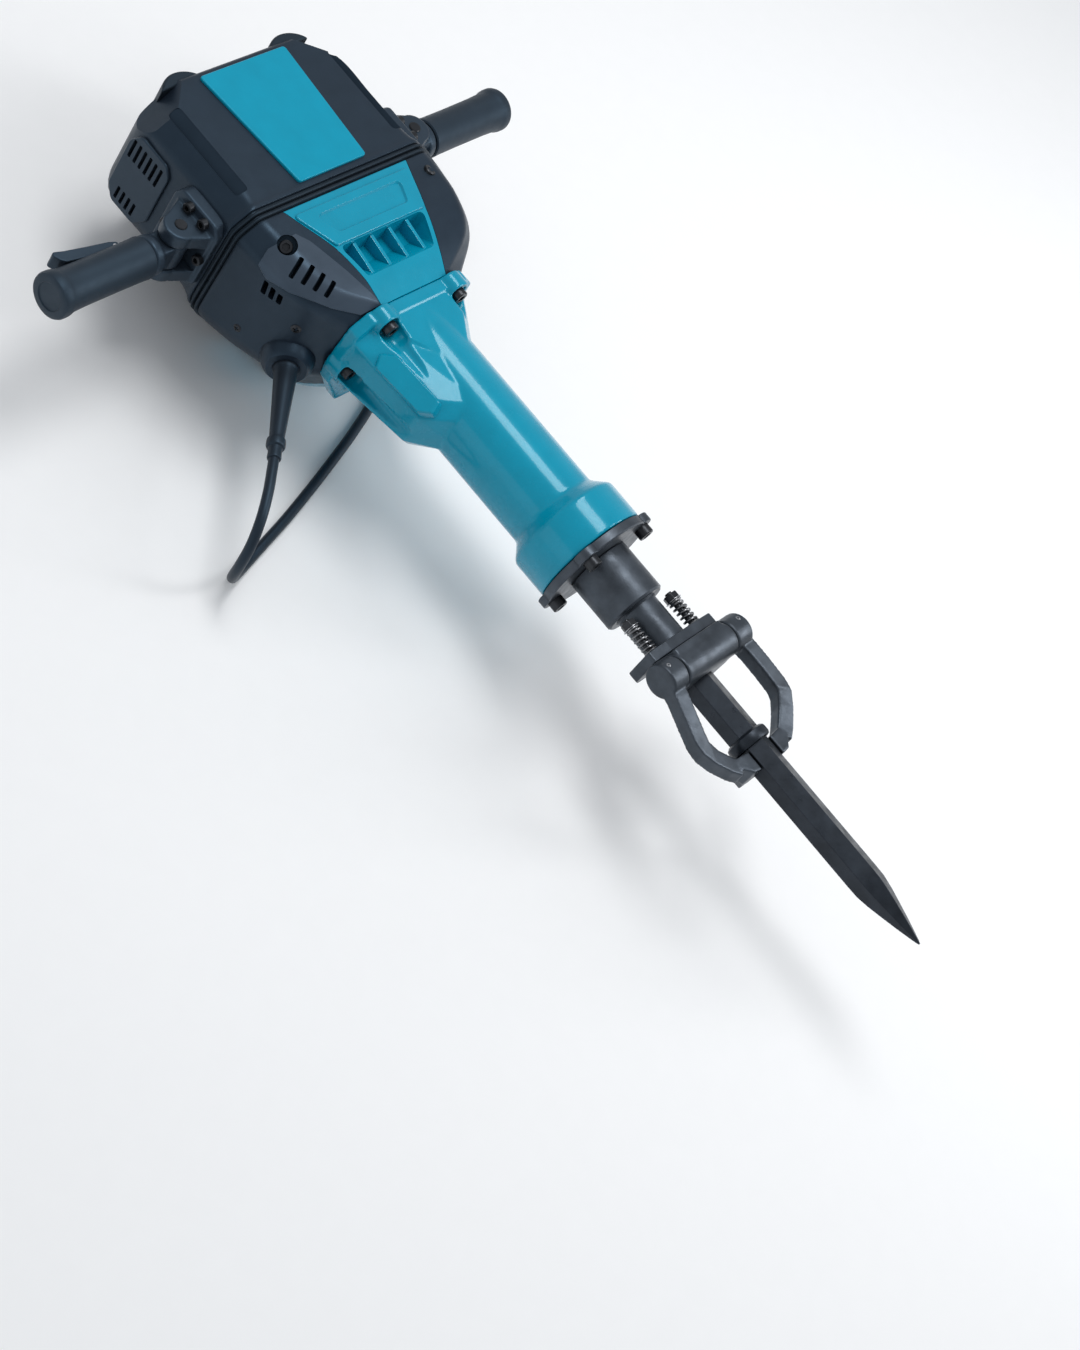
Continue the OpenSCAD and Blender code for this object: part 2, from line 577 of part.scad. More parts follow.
// Strap round the ring's section, on the side away from the housing
module coil_tie() color("#33373c") on_floor() translate([coil_c[0] - (coil_ri + coil_ro) / 2, coil_c[1], 0])
  difference() {
    translate([-(coil_ro - coil_ri) / 2 - 1.6, -5, 0]) cube([coil_ro - coil_ri + 3.2, 10, coil_h + 1.6]);
    translate([-(coil_ro - coil_ri) / 2 - 0.4, -6, -1]) cube([coil_ro - coil_ri + 0.8, 12, coil_h + 1.4]);
  }
module plug_body() color("#202326") on_floor() translate(plug_c) {
  rod_y(plug_r, -46, 0);
  cone_y(9, 5.6, -eps, plug_tail);
}
module plug_pins() color("#b9bec4") on_floor() translate(plug_c)
  for (s = [-1, 1]) rod_y(2.4, -65, -46, s * 9.5, 0);

motor_housing();
front_panel();
top_bumpers();
motor_end_cover_left();
motor_end_cover_right();
seam_gasket();
back_pad();
crank_case();
crank_front_cover();
side_cover_left();
side_cover_right();
cover_screws();
barrel_housing();
barrel_bolts();
flange_plate();
flange_bolts();
tool_holder();
retainer_bolts();
retainer_plate();
retainer_springs();
pivot_pin();
yoke();
yoke_roll_pins();
chisel();
left_bracket();
right_bracket();
bracket_bolts();
rock_pins();
left_handle_arm();
right_handle_arm();
left_grip();
right_grip();
trigger();
trigger_pin();
switch();
stator();
armature();
commutator();
fan();
motor_bearings();
brush_holders();
gear_frame();
idler_shaft();
crankshaft();
crank_bearings();
piston_rod();
piston();
piston_pin();
cylinder_tube();  // cylinder
striker();
impact_bolt();
impact_seal();
cord_clamp();
cord_guard();
cord_run();
cord_coil();
cord_tail();
coil_tie();
plug_body();
plug_pins();
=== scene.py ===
"""Looks for the electric jackhammer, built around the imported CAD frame.

Lengths in the helpers are millimetres in the tool's own frame: Y runs from the top end of the tool
towards the chisel's point, Z from the chisel's axis towards the front face, and X towards the
trigger handle. T() turns such a point into metres in the row frame.
"""
import math

import bmesh
import bpy
from mathutils import Matrix, Vector


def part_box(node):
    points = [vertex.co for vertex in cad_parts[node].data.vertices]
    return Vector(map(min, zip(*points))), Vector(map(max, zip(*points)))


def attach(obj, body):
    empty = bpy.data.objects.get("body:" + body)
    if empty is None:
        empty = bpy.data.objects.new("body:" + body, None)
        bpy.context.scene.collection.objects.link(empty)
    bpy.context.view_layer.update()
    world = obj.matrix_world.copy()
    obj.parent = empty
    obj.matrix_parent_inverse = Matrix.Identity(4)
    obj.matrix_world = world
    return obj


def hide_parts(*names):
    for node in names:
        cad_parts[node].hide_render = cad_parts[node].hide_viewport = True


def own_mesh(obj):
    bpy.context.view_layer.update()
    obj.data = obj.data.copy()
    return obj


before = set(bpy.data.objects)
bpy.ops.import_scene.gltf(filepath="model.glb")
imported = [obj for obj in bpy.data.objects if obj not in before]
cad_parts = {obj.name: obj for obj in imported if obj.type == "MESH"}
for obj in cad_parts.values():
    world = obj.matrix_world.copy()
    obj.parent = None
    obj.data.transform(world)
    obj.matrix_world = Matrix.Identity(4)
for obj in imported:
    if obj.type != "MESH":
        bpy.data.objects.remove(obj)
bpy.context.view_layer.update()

MM = 0.001
CHISEL_POINT = 1029.0
TOP = CHISEL_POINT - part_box("chisel")[1].y / MM  # the row frame's origin, from the tool's top end
AXIS = (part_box("flange_plate")[0].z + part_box("flange_plate")[1].z) / 2 / MM  # height above the floor
FLANGE_Y1, PLATE_Y1 = 571.0, 581.0  # lower faces of the barrel and of its flange plate
SIDES = ((1, "left"), (-1, "right"))


def T(p):
    """Tool-frame millimetres to row-frame metres."""
    return Vector((p[0], p[1] - TOP, p[2] + AXIS)) * MM


def linked(name, data):
    """A new object in the scene."""
    obj = bpy.data.objects.new(name, data)
    bpy.context.scene.collection.objects.link(obj)
    return obj


# ------------ camera
CAMERA_AT = (1758.0, 965.0, 1773.0)  # tool frame, mm
CAMERA_RIGHT = Vector((-0.6250, 0.6360, 0.4530))
CAMERA_BACK = Vector((0.6670, 0.1350, 0.7320))
LENS_MM = 73.83  # on a 36 mm sensor, along the picture's longer side


def make_camera():
    """The scene's camera, and its right, up and backward directions."""
    data = bpy.data.cameras.new("camera")
    data.sensor_fit = "AUTO"
    data.sensor_width = 36.0
    data.lens = LENS_MM
    data.clip_start, data.clip_end = 0.05, 50.0
    cam = linked("camera", data)
    back = CAMERA_BACK.normalized()
    right = (CAMERA_RIGHT - CAMERA_RIGHT.dot(back) * back).normalized()
    up = back.cross(right)
    basis = Matrix((right, up, back)).transposed().to_4x4()
    cam.matrix_world = Matrix.Translation(T(CAMERA_AT)) @ basis
    bpy.context.scene.camera = cam
    return right, up, back


RIGHT, UP, BACK = make_camera()


# ------------ outlines
def arc(cx, cy, r, a0, a1, n):
    """Points on a circle from angle a0 to a1, in degrees."""
    steps = [math.radians(a0 + (a1 - a0) * i / n) for i in range(n + 1)]
    return [(cx + r * math.cos(a), cy + r * math.sin(a)) for a in steps]


def mirrored(half):
    """A half outline and its mirror image in the line where the first number is zero."""
    return list(half) + [(-p[0], p[1]) for p in reversed(half)]


def rounded(points, radius, n=6):
    """A polygon with its corners rounded; radius is one number or one for each corner."""
    out, count = [], len(points)
    radii = radius if hasattr(radius, "__len__") else [radius] * count
    for i, (p, r) in enumerate(zip(points, radii)):
        p = Vector(p)
        a, b = Vector(points[i - 1]) - p, Vector(points[(i + 1) % count]) - p
        half = a.angle(b) / 2
        reach = min(r / math.tan(half), 0.49 * a.length, 0.49 * b.length)
        start, end = p + a.normalized() * reach, p + b.normalized() * reach
        for k in range(n + 1):
            t = k / n
            # a quadratic curve with its handle at the corner is close to the arc
            out.append(tuple(start * (1 - t) ** 2 + p * (2 * t * (1 - t)) + end * t * t))
    return out


def inset(points, t):
    """A convex polygon with each side moved inwards by t; a negative t moves it outwards."""
    count = len(points)
    area = sum(Vector(points[i - 1]).cross(Vector(points[i])) for i in range(count))
    turn = 1 if area > 0 else -1
    lines = []
    for i in range(count):
        a, b = Vector(points[i]), Vector(points[(i + 1) % count])
        d = (b - a).normalized()
        normal = Vector((-d.y, d.x)) * turn
        lines.append((a + normal * t, d))
    out = []
    for i in range(count):
        (p, d), (q, e) = lines[i - 1], lines[i]
        cross = d.x * e.y - d.y * e.x
        s = ((q - p).x * e.y - (q - p).y * e.x) / cross
        out.append(tuple(p + d * s))
    return out


# ------------ meshes
def new_object(name, verts, faces):
    """Object from tool-frame points, with its normals outwards."""
    mesh = bpy.data.meshes.new(name)
    mesh.from_pydata([T(v) for v in verts], [], faces)
    obj = linked(name, mesh)
    bm = bmesh.new()
    bm.from_mesh(mesh)
    bmesh.ops.remove_doubles(bm, verts=bm.verts, dist=1e-6)
    bmesh.ops.recalc_face_normals(bm, faces=bm.faces)
    bm.to_mesh(mesh)
    bm.free()
    return obj


def skin(name, rings, closed=False):
    """Faces between rings of points with equal counts, and a cap at each end unless closed."""
    n = len(rings[0])
    verts = [p for ring in rings for p in ring]
    faces = []
    pairs = len(rings) if closed else len(rings) - 1
    for i in range(pairs):
        j = (i + 1) % len(rings)
        faces += [(i * n + k, i * n + (k + 1) % n, j * n + (k + 1) % n, j * n + k) for k in range(n)]
    if not closed:
        faces += [tuple(range(n)), tuple((len(rings) - 1) * n + k for k in range(n))]
    return new_object(name, verts, faces)


PLACE = {
    "x": lambda u, v, w: (w, u, v),
    "y": lambda u, v, w: (u, w, v),
    "z": lambda u, v, w: (u, v, w),
}


def prism(name, outline, axis, a, b):
    """Outline extruded along an axis: (y, z) along x, (x, z) along y and (x, y) along z."""
    return skin(name, [[PLACE[axis](u, v, w) for u, v in outline] for w in (a, b)])


def box(name, lo, hi):
    return prism(name, [(lo[0], lo[1]), (hi[0], lo[1]), (hi[0], hi[1]), (lo[0], hi[1])], "z", lo[2], hi[2])


def frame_along(direction):
    """Two unit vectors square to a direction."""
    d = Vector(direction).normalized()
    u = d.cross(Vector((0, 0, 1)) if abs(d.z) < 0.9 else Vector((1, 0, 0))).normalized()
    return u, d.cross(u)


def circle(at, u, v, r, n):
    """Points round a centre, in the plane of two unit vectors."""
    return [tuple(at + u * r * math.cos(t) + v * r * math.sin(t))
            for t in (2 * math.pi * k / n for k in range(n))]


def lathe(name, profile, at=(0, 0, 0), along=(0, 1, 0), n=72, closed=False):
    """Turned piece: profile is (radius, distance), from at, along a direction."""
    u, v = frame_along(along)
    d, at = Vector(along).normalized(), Vector(at)
    return skin(name, [circle(at + d * s, u, v, max(r, 0.02), n) for r, s in profile], closed)


def rod(name, r, a, b, at=(0, 0, 0), along=(0, 1, 0), edge=0.6, n=48):
    """Round bar from a to b with small chamfers."""
    return lathe(name, [(r - edge, a), (r, a + edge), (r, b - edge), (r - edge, b)], at, along, n)


def hex_bar(name, r, a, b, at=(0, 0, 0)):
    """Six-sided bar along the tool; r is across the corners, halved."""
    return lathe(name, [(r, a), (r, b)], at, n=6)


def tube(name, path, radius, n):
    """Round tube along points."""
    points = [Vector(p) for p in path]
    rings, u = [], None
    for i, p in enumerate(points):
        d = (points[min(i + 1, len(points) - 1)] - points[max(i - 1, 0)]).normalized()
        u = frame_along(d)[0] if u is None else (u - u.dot(d) * d).normalized()
        rings.append(circle(p, u, d.cross(u), radius, n))
    return skin(name, rings)


def hull(name, points):
    """Convex solid round points, with flat faces merged."""
    mesh = bpy.data.meshes.new(name)
    bm = bmesh.new()
    for p in points:
        bm.verts.new(T(p))
    result = bmesh.ops.convex_hull(bm, input=bm.verts)
    spare = [g for g in result["geom_interior"] + result["geom_unused"] if isinstance(g, bmesh.types.BMVert)]
    bmesh.ops.delete(bm, geom=list(set(spare)), context="VERTS")
    bmesh.ops.dissolve_limit(bm, angle_limit=math.radians(0.5), verts=bm.verts, edges=bm.edges)
    bmesh.ops.recalc_face_normals(bm, faces=bm.faces)
    bm.to_mesh(mesh)
    bm.free()
    return linked(name, mesh)


def applied(obj):
    """The object's modifiers, made part of its mesh."""
    depsgraph = bpy.context.evaluated_depsgraph_get()
    mesh = bpy.data.meshes.new_from_object(obj.evaluated_get(depsgraph))
    obj.modifiers.clear()
    old, obj.data = obj.data, mesh
    bpy.data.meshes.remove(old)
    return obj


def combine(obj, others, operation):
    """The first object after a boolean with each of the others, which are used up."""
    for other in others:
        mod = obj.modifiers.new("combine", "BOOLEAN")
        mod.operation, mod.solver, mod.object = operation, "EXACT", other
        applied(obj)
        bpy.data.objects.remove(other)
    return obj


def cut(obj, *others):
    return combine(obj, others, "DIFFERENCE")


def keep(obj, *others):
    return combine(obj, others, "INTERSECT")


def join(obj, *others):
    return combine(obj, others, "UNION")


def flipped(obj, name):
    """A copy that is the mirror image in the tool's middle plane."""
    twin = linked(name, obj.data.copy())
    twin.data.transform(Matrix.Diagonal((-1, 1, 1, 1)))
    twin.data.flip_normals()
    return twin


def bevel(obj, width, segments=3, angle=30):
    """Edges sharper than an angle in degrees, rounded to a width."""
    mod = obj.modifiers.new("bevel", "BEVEL")
    mod.width, mod.segments, mod.limit_method = width * MM, segments, "ANGLE"
    mod.angle_limit = math.radians(angle)
    mod.use_clamp_overlap = True
    return applied(obj)


def forge(obj, voxel, passes):
    """Cast or forged look: sharp edges and inner corners are softened together."""
    mod = obj.modifiers.new("remesh", "REMESH")
    mod.mode, mod.voxel_size = "VOXEL", voxel * MM
    soft = obj.modifiers.new("soften", "SMOOTH")
    soft.factor, soft.iterations = 0.5, passes
    return applied(obj)


def shade(obj, angle=35, weighted=True):
    obj.data.shade_smooth()
    obj.data.set_sharp_from_angle(angle=math.radians(angle))
    if weighted:
        mod = obj.modifiers.new("normals", "WEIGHTED_NORMAL")
        mod.keep_sharp = True
        applied(obj)
    return obj


def piece(obj, material, body="body", node=None, angle=35, weighted=True):
    """Last step for a piece: shading, material, the body it rides on and the CAD node it stands for."""
    shade(obj, angle, weighted)
    obj.data.materials.clear()
    obj.data.materials.append(material)
    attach(obj, body)
    if node:
        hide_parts(node)
    return obj


# ------------ materials
def material(name, colour, roughness, grain, mottle, metallic=0.0, coat=0.0, coat_roughness=0.1,
             rough_spread=0.0, specular=0.5, sheen=(1, 1, 1)):
    """Principled material with fine grain and soft variation of its colour.

    grain is the noise's scale per metre, the bump's depth in millimetres and its strength; mottle is the
    share by which the colour varies, and rough_spread is how far the roughness does.
    """
    mat = bpy.data.materials.new(name)
    mat.use_nodes = True
    tree = mat.node_tree
    shader = tree.nodes["Principled BSDF"]
    link = tree.links.new
    shader.inputs["Base Color"].default_value = (*colour, 1)
    shader.inputs["Roughness"].default_value = roughness
    shader.inputs["Metallic"].default_value = metallic
    shader.inputs["Coat Weight"].default_value = coat
    shader.inputs["Coat Roughness"].default_value = coat_roughness
    shader.inputs["Specular IOR Level"].default_value = specular
    shader.inputs["Specular Tint"].default_value = (*sheen, 1)
    place = tree.nodes.new("ShaderNodeTexCoord").outputs["Object"]

    def noise(scale, detail, rough=0.55):
        node = tree.nodes.new("ShaderNodeTexNoise")
        node.inputs["Scale"].default_value = scale
        node.inputs["Detail"].default_value = detail
        node.inputs["Roughness"].default_value = rough
        link(place, node.inputs["Vector"])
        return node.outputs["Fac"]

    def spread(value, low, high):
        node = tree.nodes.new("ShaderNodeMapRange")
        node.inputs["From Min"].default_value, node.inputs["From Max"].default_value = 0.3, 0.7
        node.inputs["To Min"].default_value, node.inputs["To Max"].default_value = low, high
        link(value, node.inputs["Value"])
        return node.outputs["Result"]

    mix = tree.nodes.new("ShaderNodeMix")
    mix.data_type = "RGBA"
    mix.inputs["A"].default_value = (*[c * (1 - mottle) for c in colour], 1)
    mix.inputs["B"].default_value = (*[c * (1 + mottle) for c in colour], 1)
    link(spread(noise(38.0, 5.0), 0, 1), mix.inputs["Factor"])
    link(mix.outputs["Result"], shader.inputs["Base Color"])
    if rough_spread:
        varied = spread(noise(90.0, 4.0), roughness - rough_spread, roughness + rough_spread)
        link(varied, shader.inputs["Roughness"])
    scale, depth, strength = grain
    bump = tree.nodes.new("ShaderNodeBump")
    bump.inputs["Strength"].default_value = strength
    bump.inputs["Distance"].default_value = depth * MM
    link(noise(scale, 4.0, 0.6), bump.inputs["Height"])
    link(bump.outputs["Normal"], shader.inputs["Normal"])
    return mat


BLUISH = (0.45, 0.72, 1.0)  # tint of the highlights on plastic and rubber
TEAL_SHEEN = (0.25, 0.85, 1.0)
NYLON = material("moulded_nylon", (0.009, 0.014, 0.022), 0.40, (900, 0.25, 0.3), 0.12,
                 rough_spread=0.05, sheen=BLUISH)
COVER = material("cover_nylon", (0.018, 0.026, 0.037), 0.38, (900, 0.2, 0.25), 0.1,
                 rough_spread=0.05, sheen=BLUISH)
ARM = material("arm_nylon", (0.040, 0.052, 0.070), 0.36, (900, 0.2, 0.25), 0.1,
               rough_spread=0.05, sheen=BLUISH)
TEAL = material("teal_enamel", (0.0, 0.255, 0.385), 0.26, (220, 0.08, 0.15), 0.05,
                coat=0.45, rough_spread=0.04, specular=0.3, sheen=TEAL_SHEEN)
PANEL = material("teal_panel", (0.0, 0.262, 0.395), 0.32, (700, 0.08, 0.15), 0.04,
                 coat=0.2, coat_roughness=0.2, specular=0.3, sheen=TEAL_SHEEN)
RUBBER = material("rubber", (0.006, 0.008, 0.011), 0.55, (1300, 0.2, 0.3), 0.15,
                  rough_spread=0.06, sheen=BLUISH)
GRIP = material("grip_rubber", (0.013, 0.018, 0.025), 0.5, (1500, 0.25, 0.35), 0.12,
                rough_spread=0.05, sheen=BLUISH)
CORD = material("cord_rubber", (0.009, 0.011, 0.015), 0.46, (1600, 0.1, 0.2), 0.1, sheen=BLUISH)
FORGED = material("forged_steel", (0.060, 0.072, 0.088), 0.40, (260, 0.35, 0.4), 0.25,
                  metallic=0.75, rough_spread=0.08)
SHANK = material("chisel_steel", (0.022, 0.028, 0.037), 0.36, (320, 0.25, 0.35), 0.3,
                 metallic=0.7, rough_spread=0.1)
OXIDE = material("black_oxide", (0.035, 0.038, 0.043), 0.34, (500, 0.1, 0.2), 0.2,
                 metallic=0.8, rough_spread=0.06)
STEEL = material("ground_steel", (0.42, 0.43, 0.45), 0.28, (700, 0.05, 0.15), 0.08,
                 metallic=1.0, rough_spread=0.06)
SPRING = material("spring_steel", (0.20, 0.205, 0.215), 0.30, (700, 0.05, 0.15), 0.1, metallic=1.0)
COPPER = material("copper", (0.55, 0.27, 0.14), 0.35, (500, 0.1, 0.2), 0.1, metallic=1.0)
BRASS = material("brass", (0.62, 0.52, 0.30), 0.3, (500, 0.05, 0.1), 0.05, metallic=1.0)
CASTING = material("bare_casting", (0.5, 0.51, 0.52), 0.5, (200, 0.3, 0.4), 0.1, metallic=0.9)
# painted shade, for the dark plates that stand for the shade in the vent pockets
DARK = material("deep_shadow", (0.008, 0.009, 0.011), 0.8, (400, 0.1, 0.2), 0.1)


# ------------ cord
CORD_D = 10.0
GUARD_AT, GUARD_TURN = (88.0, 246.0, -30.0), 41.5  # the turn is in degrees, from X towards Y
GUARD_DIR = (math.cos(math.radians(GUARD_TURN)), math.sin(math.radians(GUARD_TURN)), 0.0)
COIL_AT, COIL_RADII, COIL_LAYERS, COIL_STEP = (-200.0, 40.0), (65.1, 55.05, 45.0), 4, 10.05
PLUG_AT, PLUG_R, PLUG_TAIL, PIN_SPREAD = (-148.0, 34.0, 59.0), 19.0, 26.0, 9.5
TIE_Y, TIE_W, TIE_T = 40.0, 11.0, 1.2  # strap round the coil: its middle, width and thickness
# Route as x, y and the height above the floor
RUN_ROUTE = [
    (192.9, 338.8, 107), (206, 350, 107), (222, 364, 105), (241, 380, 97), (254, 391, 80), (259, 395, 56),
    (253, 393, 31), (236, 388, 12), (212, 381, 5), (180, 372, 5), (140, 361, 5), (95, 347, 5), (50, 332, 5),
    (5, 316, 5), (-40, 297, 5), (-80, 271, 5), (-110, 236, 5), (-128, 194, 5), (-136, 150, 5), (-137, 110, 5),
    (-135, 76, 5),
]
TAIL_ROUTE = [(-160, 90, 40), (-152, 79, 48), (-148.5, 68, 56), (-148, 60, 59)]


def coil_points(steps=24, stop=64):
    """Turns wound in layers, inwards and outwards in turn; the last stops short by an angle."""
    points, radius = [], COIL_RADII[0]
    shift = steps // 6  # share of a turn in which it changes row or layer
    for layer in range(COIL_LAYERS):
        row = COIL_RADII if layer % 2 == 0 else COIL_RADII[::-1]
        for index, target in enumerate(row):
            last = layer == COIL_LAYERS - 1 and index == len(row) - 1
            for k in range(steps):
                if last and k * 360 / steps > 360 - stop:
                    break
                t = min(k / shift, 1.0)
                r = radius + (target - radius) * t * t * (3 - 2 * t)
                lift = max(0.0, (k - steps + shift) / shift) if index == len(row) - 1 and not last else 0.0
                z = CORD_D / 2 + COIL_STEP * (layer + lift * lift * (3 - 2 * lift))
                a = -2 * math.pi * k / steps
                points.append((COIL_AT[0] + r * math.cos(a), COIL_AT[1] + r * math.sin(a), z))
            radius = target
    return points


def on_floor(p):
    """A point given with its height above the floor, in row-frame metres."""
    return Vector((p[0], p[1] - TOP, p[2])) * MM


def make_cord():
    """The whole cord on one curve, and the length of that curve."""
    points = [on_floor(p) for p in RUN_ROUTE + coil_points() + TAIL_ROUTE]
    data = bpy.data.curves.new("mains_cord", "CURVE")
    data.dimensions = "3D"
    data.bevel_depth, data.bevel_resolution, data.use_fill_caps = CORD_D / 2 * MM, 5, True
    data.resolution_u = 4
    spline = data.splines.new("BEZIER")
    spline.bezier_points.add(len(points) - 1)
    for i, (knot, p) in enumerate(zip(spline.bezier_points, points)):
        before, after = points[max(i - 1, 0)], points[min(i + 1, len(points) - 1)]
        lean = (after - before).normalized()
        knot.co = p
        knot.handle_left = p - lean * (p - before).length / 3
        knot.handle_right = p + lean * (after - p).length / 3
    obj = linked("mains_cord", data)
    data.materials.append(CORD)
    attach(obj, "body")
    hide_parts("cord_run", "cord_coil", "cord_tail")
    length = sum((b - a).length for a, b in zip(points, points[1:]))
    return obj, length


def floor_piece(obj):
    """A piece drawn with heights above the floor, put in place."""
    obj.data.transform(Matrix.Translation((0, 0, -AXIS * MM)))
    return obj


def make_plug():
    """The plug with its pins, and the strap that ties the coil."""
    back = (0, -1, 0)
    tail = (PLUG_AT[0], PLUG_AT[1] + PLUG_TAIL, PLUG_AT[2])
    profile = [(4.9, -1), (6.0, 0), (6.6, 7), (5.9, 7.6), (5.9, 9), (7.4, 9.6), (7.8, 14), (6.9, 14.6),
               (6.9, 16), (8.6, 16.6), (9.5, 21), (12.5, 24), (17.2, 29), (PLUG_R, 35), (PLUG_R, 62),
               (PLUG_R - 1.2, 64), (PLUG_R - 1.2, 66), (PLUG_R, 67.5), (PLUG_R, 70.5), (PLUG_R - 1.5, 72)]
    body = floor_piece(lathe("plug", profile, tail, back, 56))
    piece(body, CORD, node="plug_body")
    pin_profile = [(2.4, 71), (2.4, 89), (1.6, 90.6), (0.3, 91)]
    pins = []
    for s, name in ((-1, "plug_pin_a"), (1, "plug_pin_b")):
        at = (PLUG_AT[0] + s * PIN_SPREAD, tail[1], PLUG_AT[2])
        pins.append(floor_piece(lathe(name, pin_profile, at, back, 24)))
    for pin in pins:
        piece(pin, BRASS, node="plug_pins")
    # the strap goes round all rows and layers of the coil, with a little room
    mid = COIL_AT[0] - (COIL_RADII[0] + COIL_RADII[-1]) / 2
    half = (COIL_RADII[0] - COIL_RADII[-1]) / 2 + CORD_D / 2 + 0.4
    high = COIL_STEP * (COIL_LAYERS - 1) + CORD_D + 0.4
    loop = rounded([(mid - half, 0.1), (mid + half, 0.1), (mid + half, high), (mid - half, high)], 4.5)
    outer = inset(loop, -TIE_T)
    y0, y1 = TIE_Y - TIE_W / 2, TIE_Y + TIE_W / 2
    rings = [[(u, y, max(v, 0.02)) for u, v in line]
             for line, y in ((loop, y0), (outer, y0), (outer, y1), (loop, y1))]
    strap = floor_piece(skin("cord_tie", rings, closed=True))
    piece(strap, RUBBER, node="coil_tie")
    return [body, *pins, strap]


cord, cord_length = make_cord()
cord_pieces = make_plug()


# ------------ small parts
def cap_screw(name, at, along, r, h, node=None):
    """Socket head cap screw with a chamfered head and a six-sided recess."""
    u, v = frame_along(along)
    d, at = Vector(along).normalized(), Vector(at)
    n, socket = 48, 0.55 * r

    def hexagon(radius, s):
        out = []
        for t in (2 * math.pi * k / n for k in range(n)):
            reach = radius * math.cos(math.pi / 6) / math.cos(t % (math.pi / 3) - math.pi / 6)
            out.append(tuple(at + d * s + (u * math.cos(t) + v * math.sin(t)) * reach))
        return out

    rings = [circle(at, u, v, r, n), circle(at + d * (h - 0.12 * r), u, v, r, n),
             circle(at + d * h, u, v, 0.88 * r, n), hexagon(socket + 0.06 * r, h),
             hexagon(socket, h - 0.05 * r), hexagon(socket, 0.4 * h)]
    piece(skin(name, rings), OXIDE, node=node)


def recess_screw(name, at, along, r):
    """Small countersunk screw head with a cross recess."""
    head = lathe(name, [(r, -2), (r, 0.4), (r * 0.8, 1.2), (0.02, 1.5)], at, along, 32)
    u, v = frame_along(along)
    d, at = Vector(along).normalized(), Vector(at)
    for a, b in ((u, v), (v, u)):
        corners = [at + a * (i * r * 0.62) + b * (j * r * 0.14) + d * k
                   for i in (-1, 1) for j in (-1, 1) for k in (0.2, 4)]
        cut(head, hull(name + "_slot", corners))
    piece(head, OXIDE)


# ------------ motor housing
FRONT_Z, BACK_Z, MOTOR_W = 68.0, 131.0, 126.0
CORNER_N, CORNER_C = Vector((0.554, -0.584, 0.593)), 73.4  # plane of the facet on each front corner


def section(front_x, front, w, side_z0, side_z1, back_x, back):
    """Eight-sided section as (x, z): a front face, a side each way between two bevels, and a back face."""
    return mirrored([(front_x, front), (w, side_z0), (w, -side_z1), (back_x, -back)])


def blend_rows(rows, y):
    """Section numbers at y, on a smooth curve through rows of (y, numbers)."""
    for i in range(len(rows) - 1):
        if y <= rows[i + 1][0] or i == len(rows) - 2:
            break
    (y0, a), (y1, b) = rows[i], rows[i + 1]
    before, after = rows[max(i - 1, 0)], rows[min(i + 2, len(rows) - 1)]
    t = (y - y0) / (y1 - y0)
    out = []
    for k in range(len(a)):
        m0 = (b[k] - before[1][k]) / (y1 - before[0]) * (y1 - y0)
        m1 = (after[1][k] - a[k]) / (after[0] - y0) * (y1 - y0)
        out.append((2 * t ** 3 - 3 * t ** 2 + 1) * a[k] + (t ** 3 - 2 * t ** 2 + t) * m0
                   + (-2 * t ** 3 + 3 * t ** 2) * b[k] + (t ** 3 - t ** 2) * m1)
    return out


def ring_at(y, numbers, radii, t=0.0):
    """The section at y as a ring of points, moved inwards by t."""
    corner = [max(r - t, 1.5) for r in radii]
    return [(x, y, z) for x, z in rounded(inset(section(*numbers), t), corner + corner[::-1], 7)]


MOTOR_RADII = (15, 15, 26, 22)
SEAM_RADII = (16, 16, 26, 22)
SEAM, SEAM_Y = (111, 68, 131, 51, 54, 54, 131), 170
VENT_DEPTH, VENT_PITCH, VENT_W = 11, 7.4, 3.6
# Rows of y and the numbers that section() takes
MOTOR_ROWS = [
    (9, (88, 68, 108, 33, 46, 34, 112)),
    (24, (96, 68, 122, 42, 50, 42, 124)),
    (50, (106, 68, 126, 49, 50, 46, 131)),
    (90, (106, 68, 126, 49, 50, 46, 131)),
    (140, (107, 68, 126.5, 49.5, 51, 48, 131)),
    (158, SEAM),
]


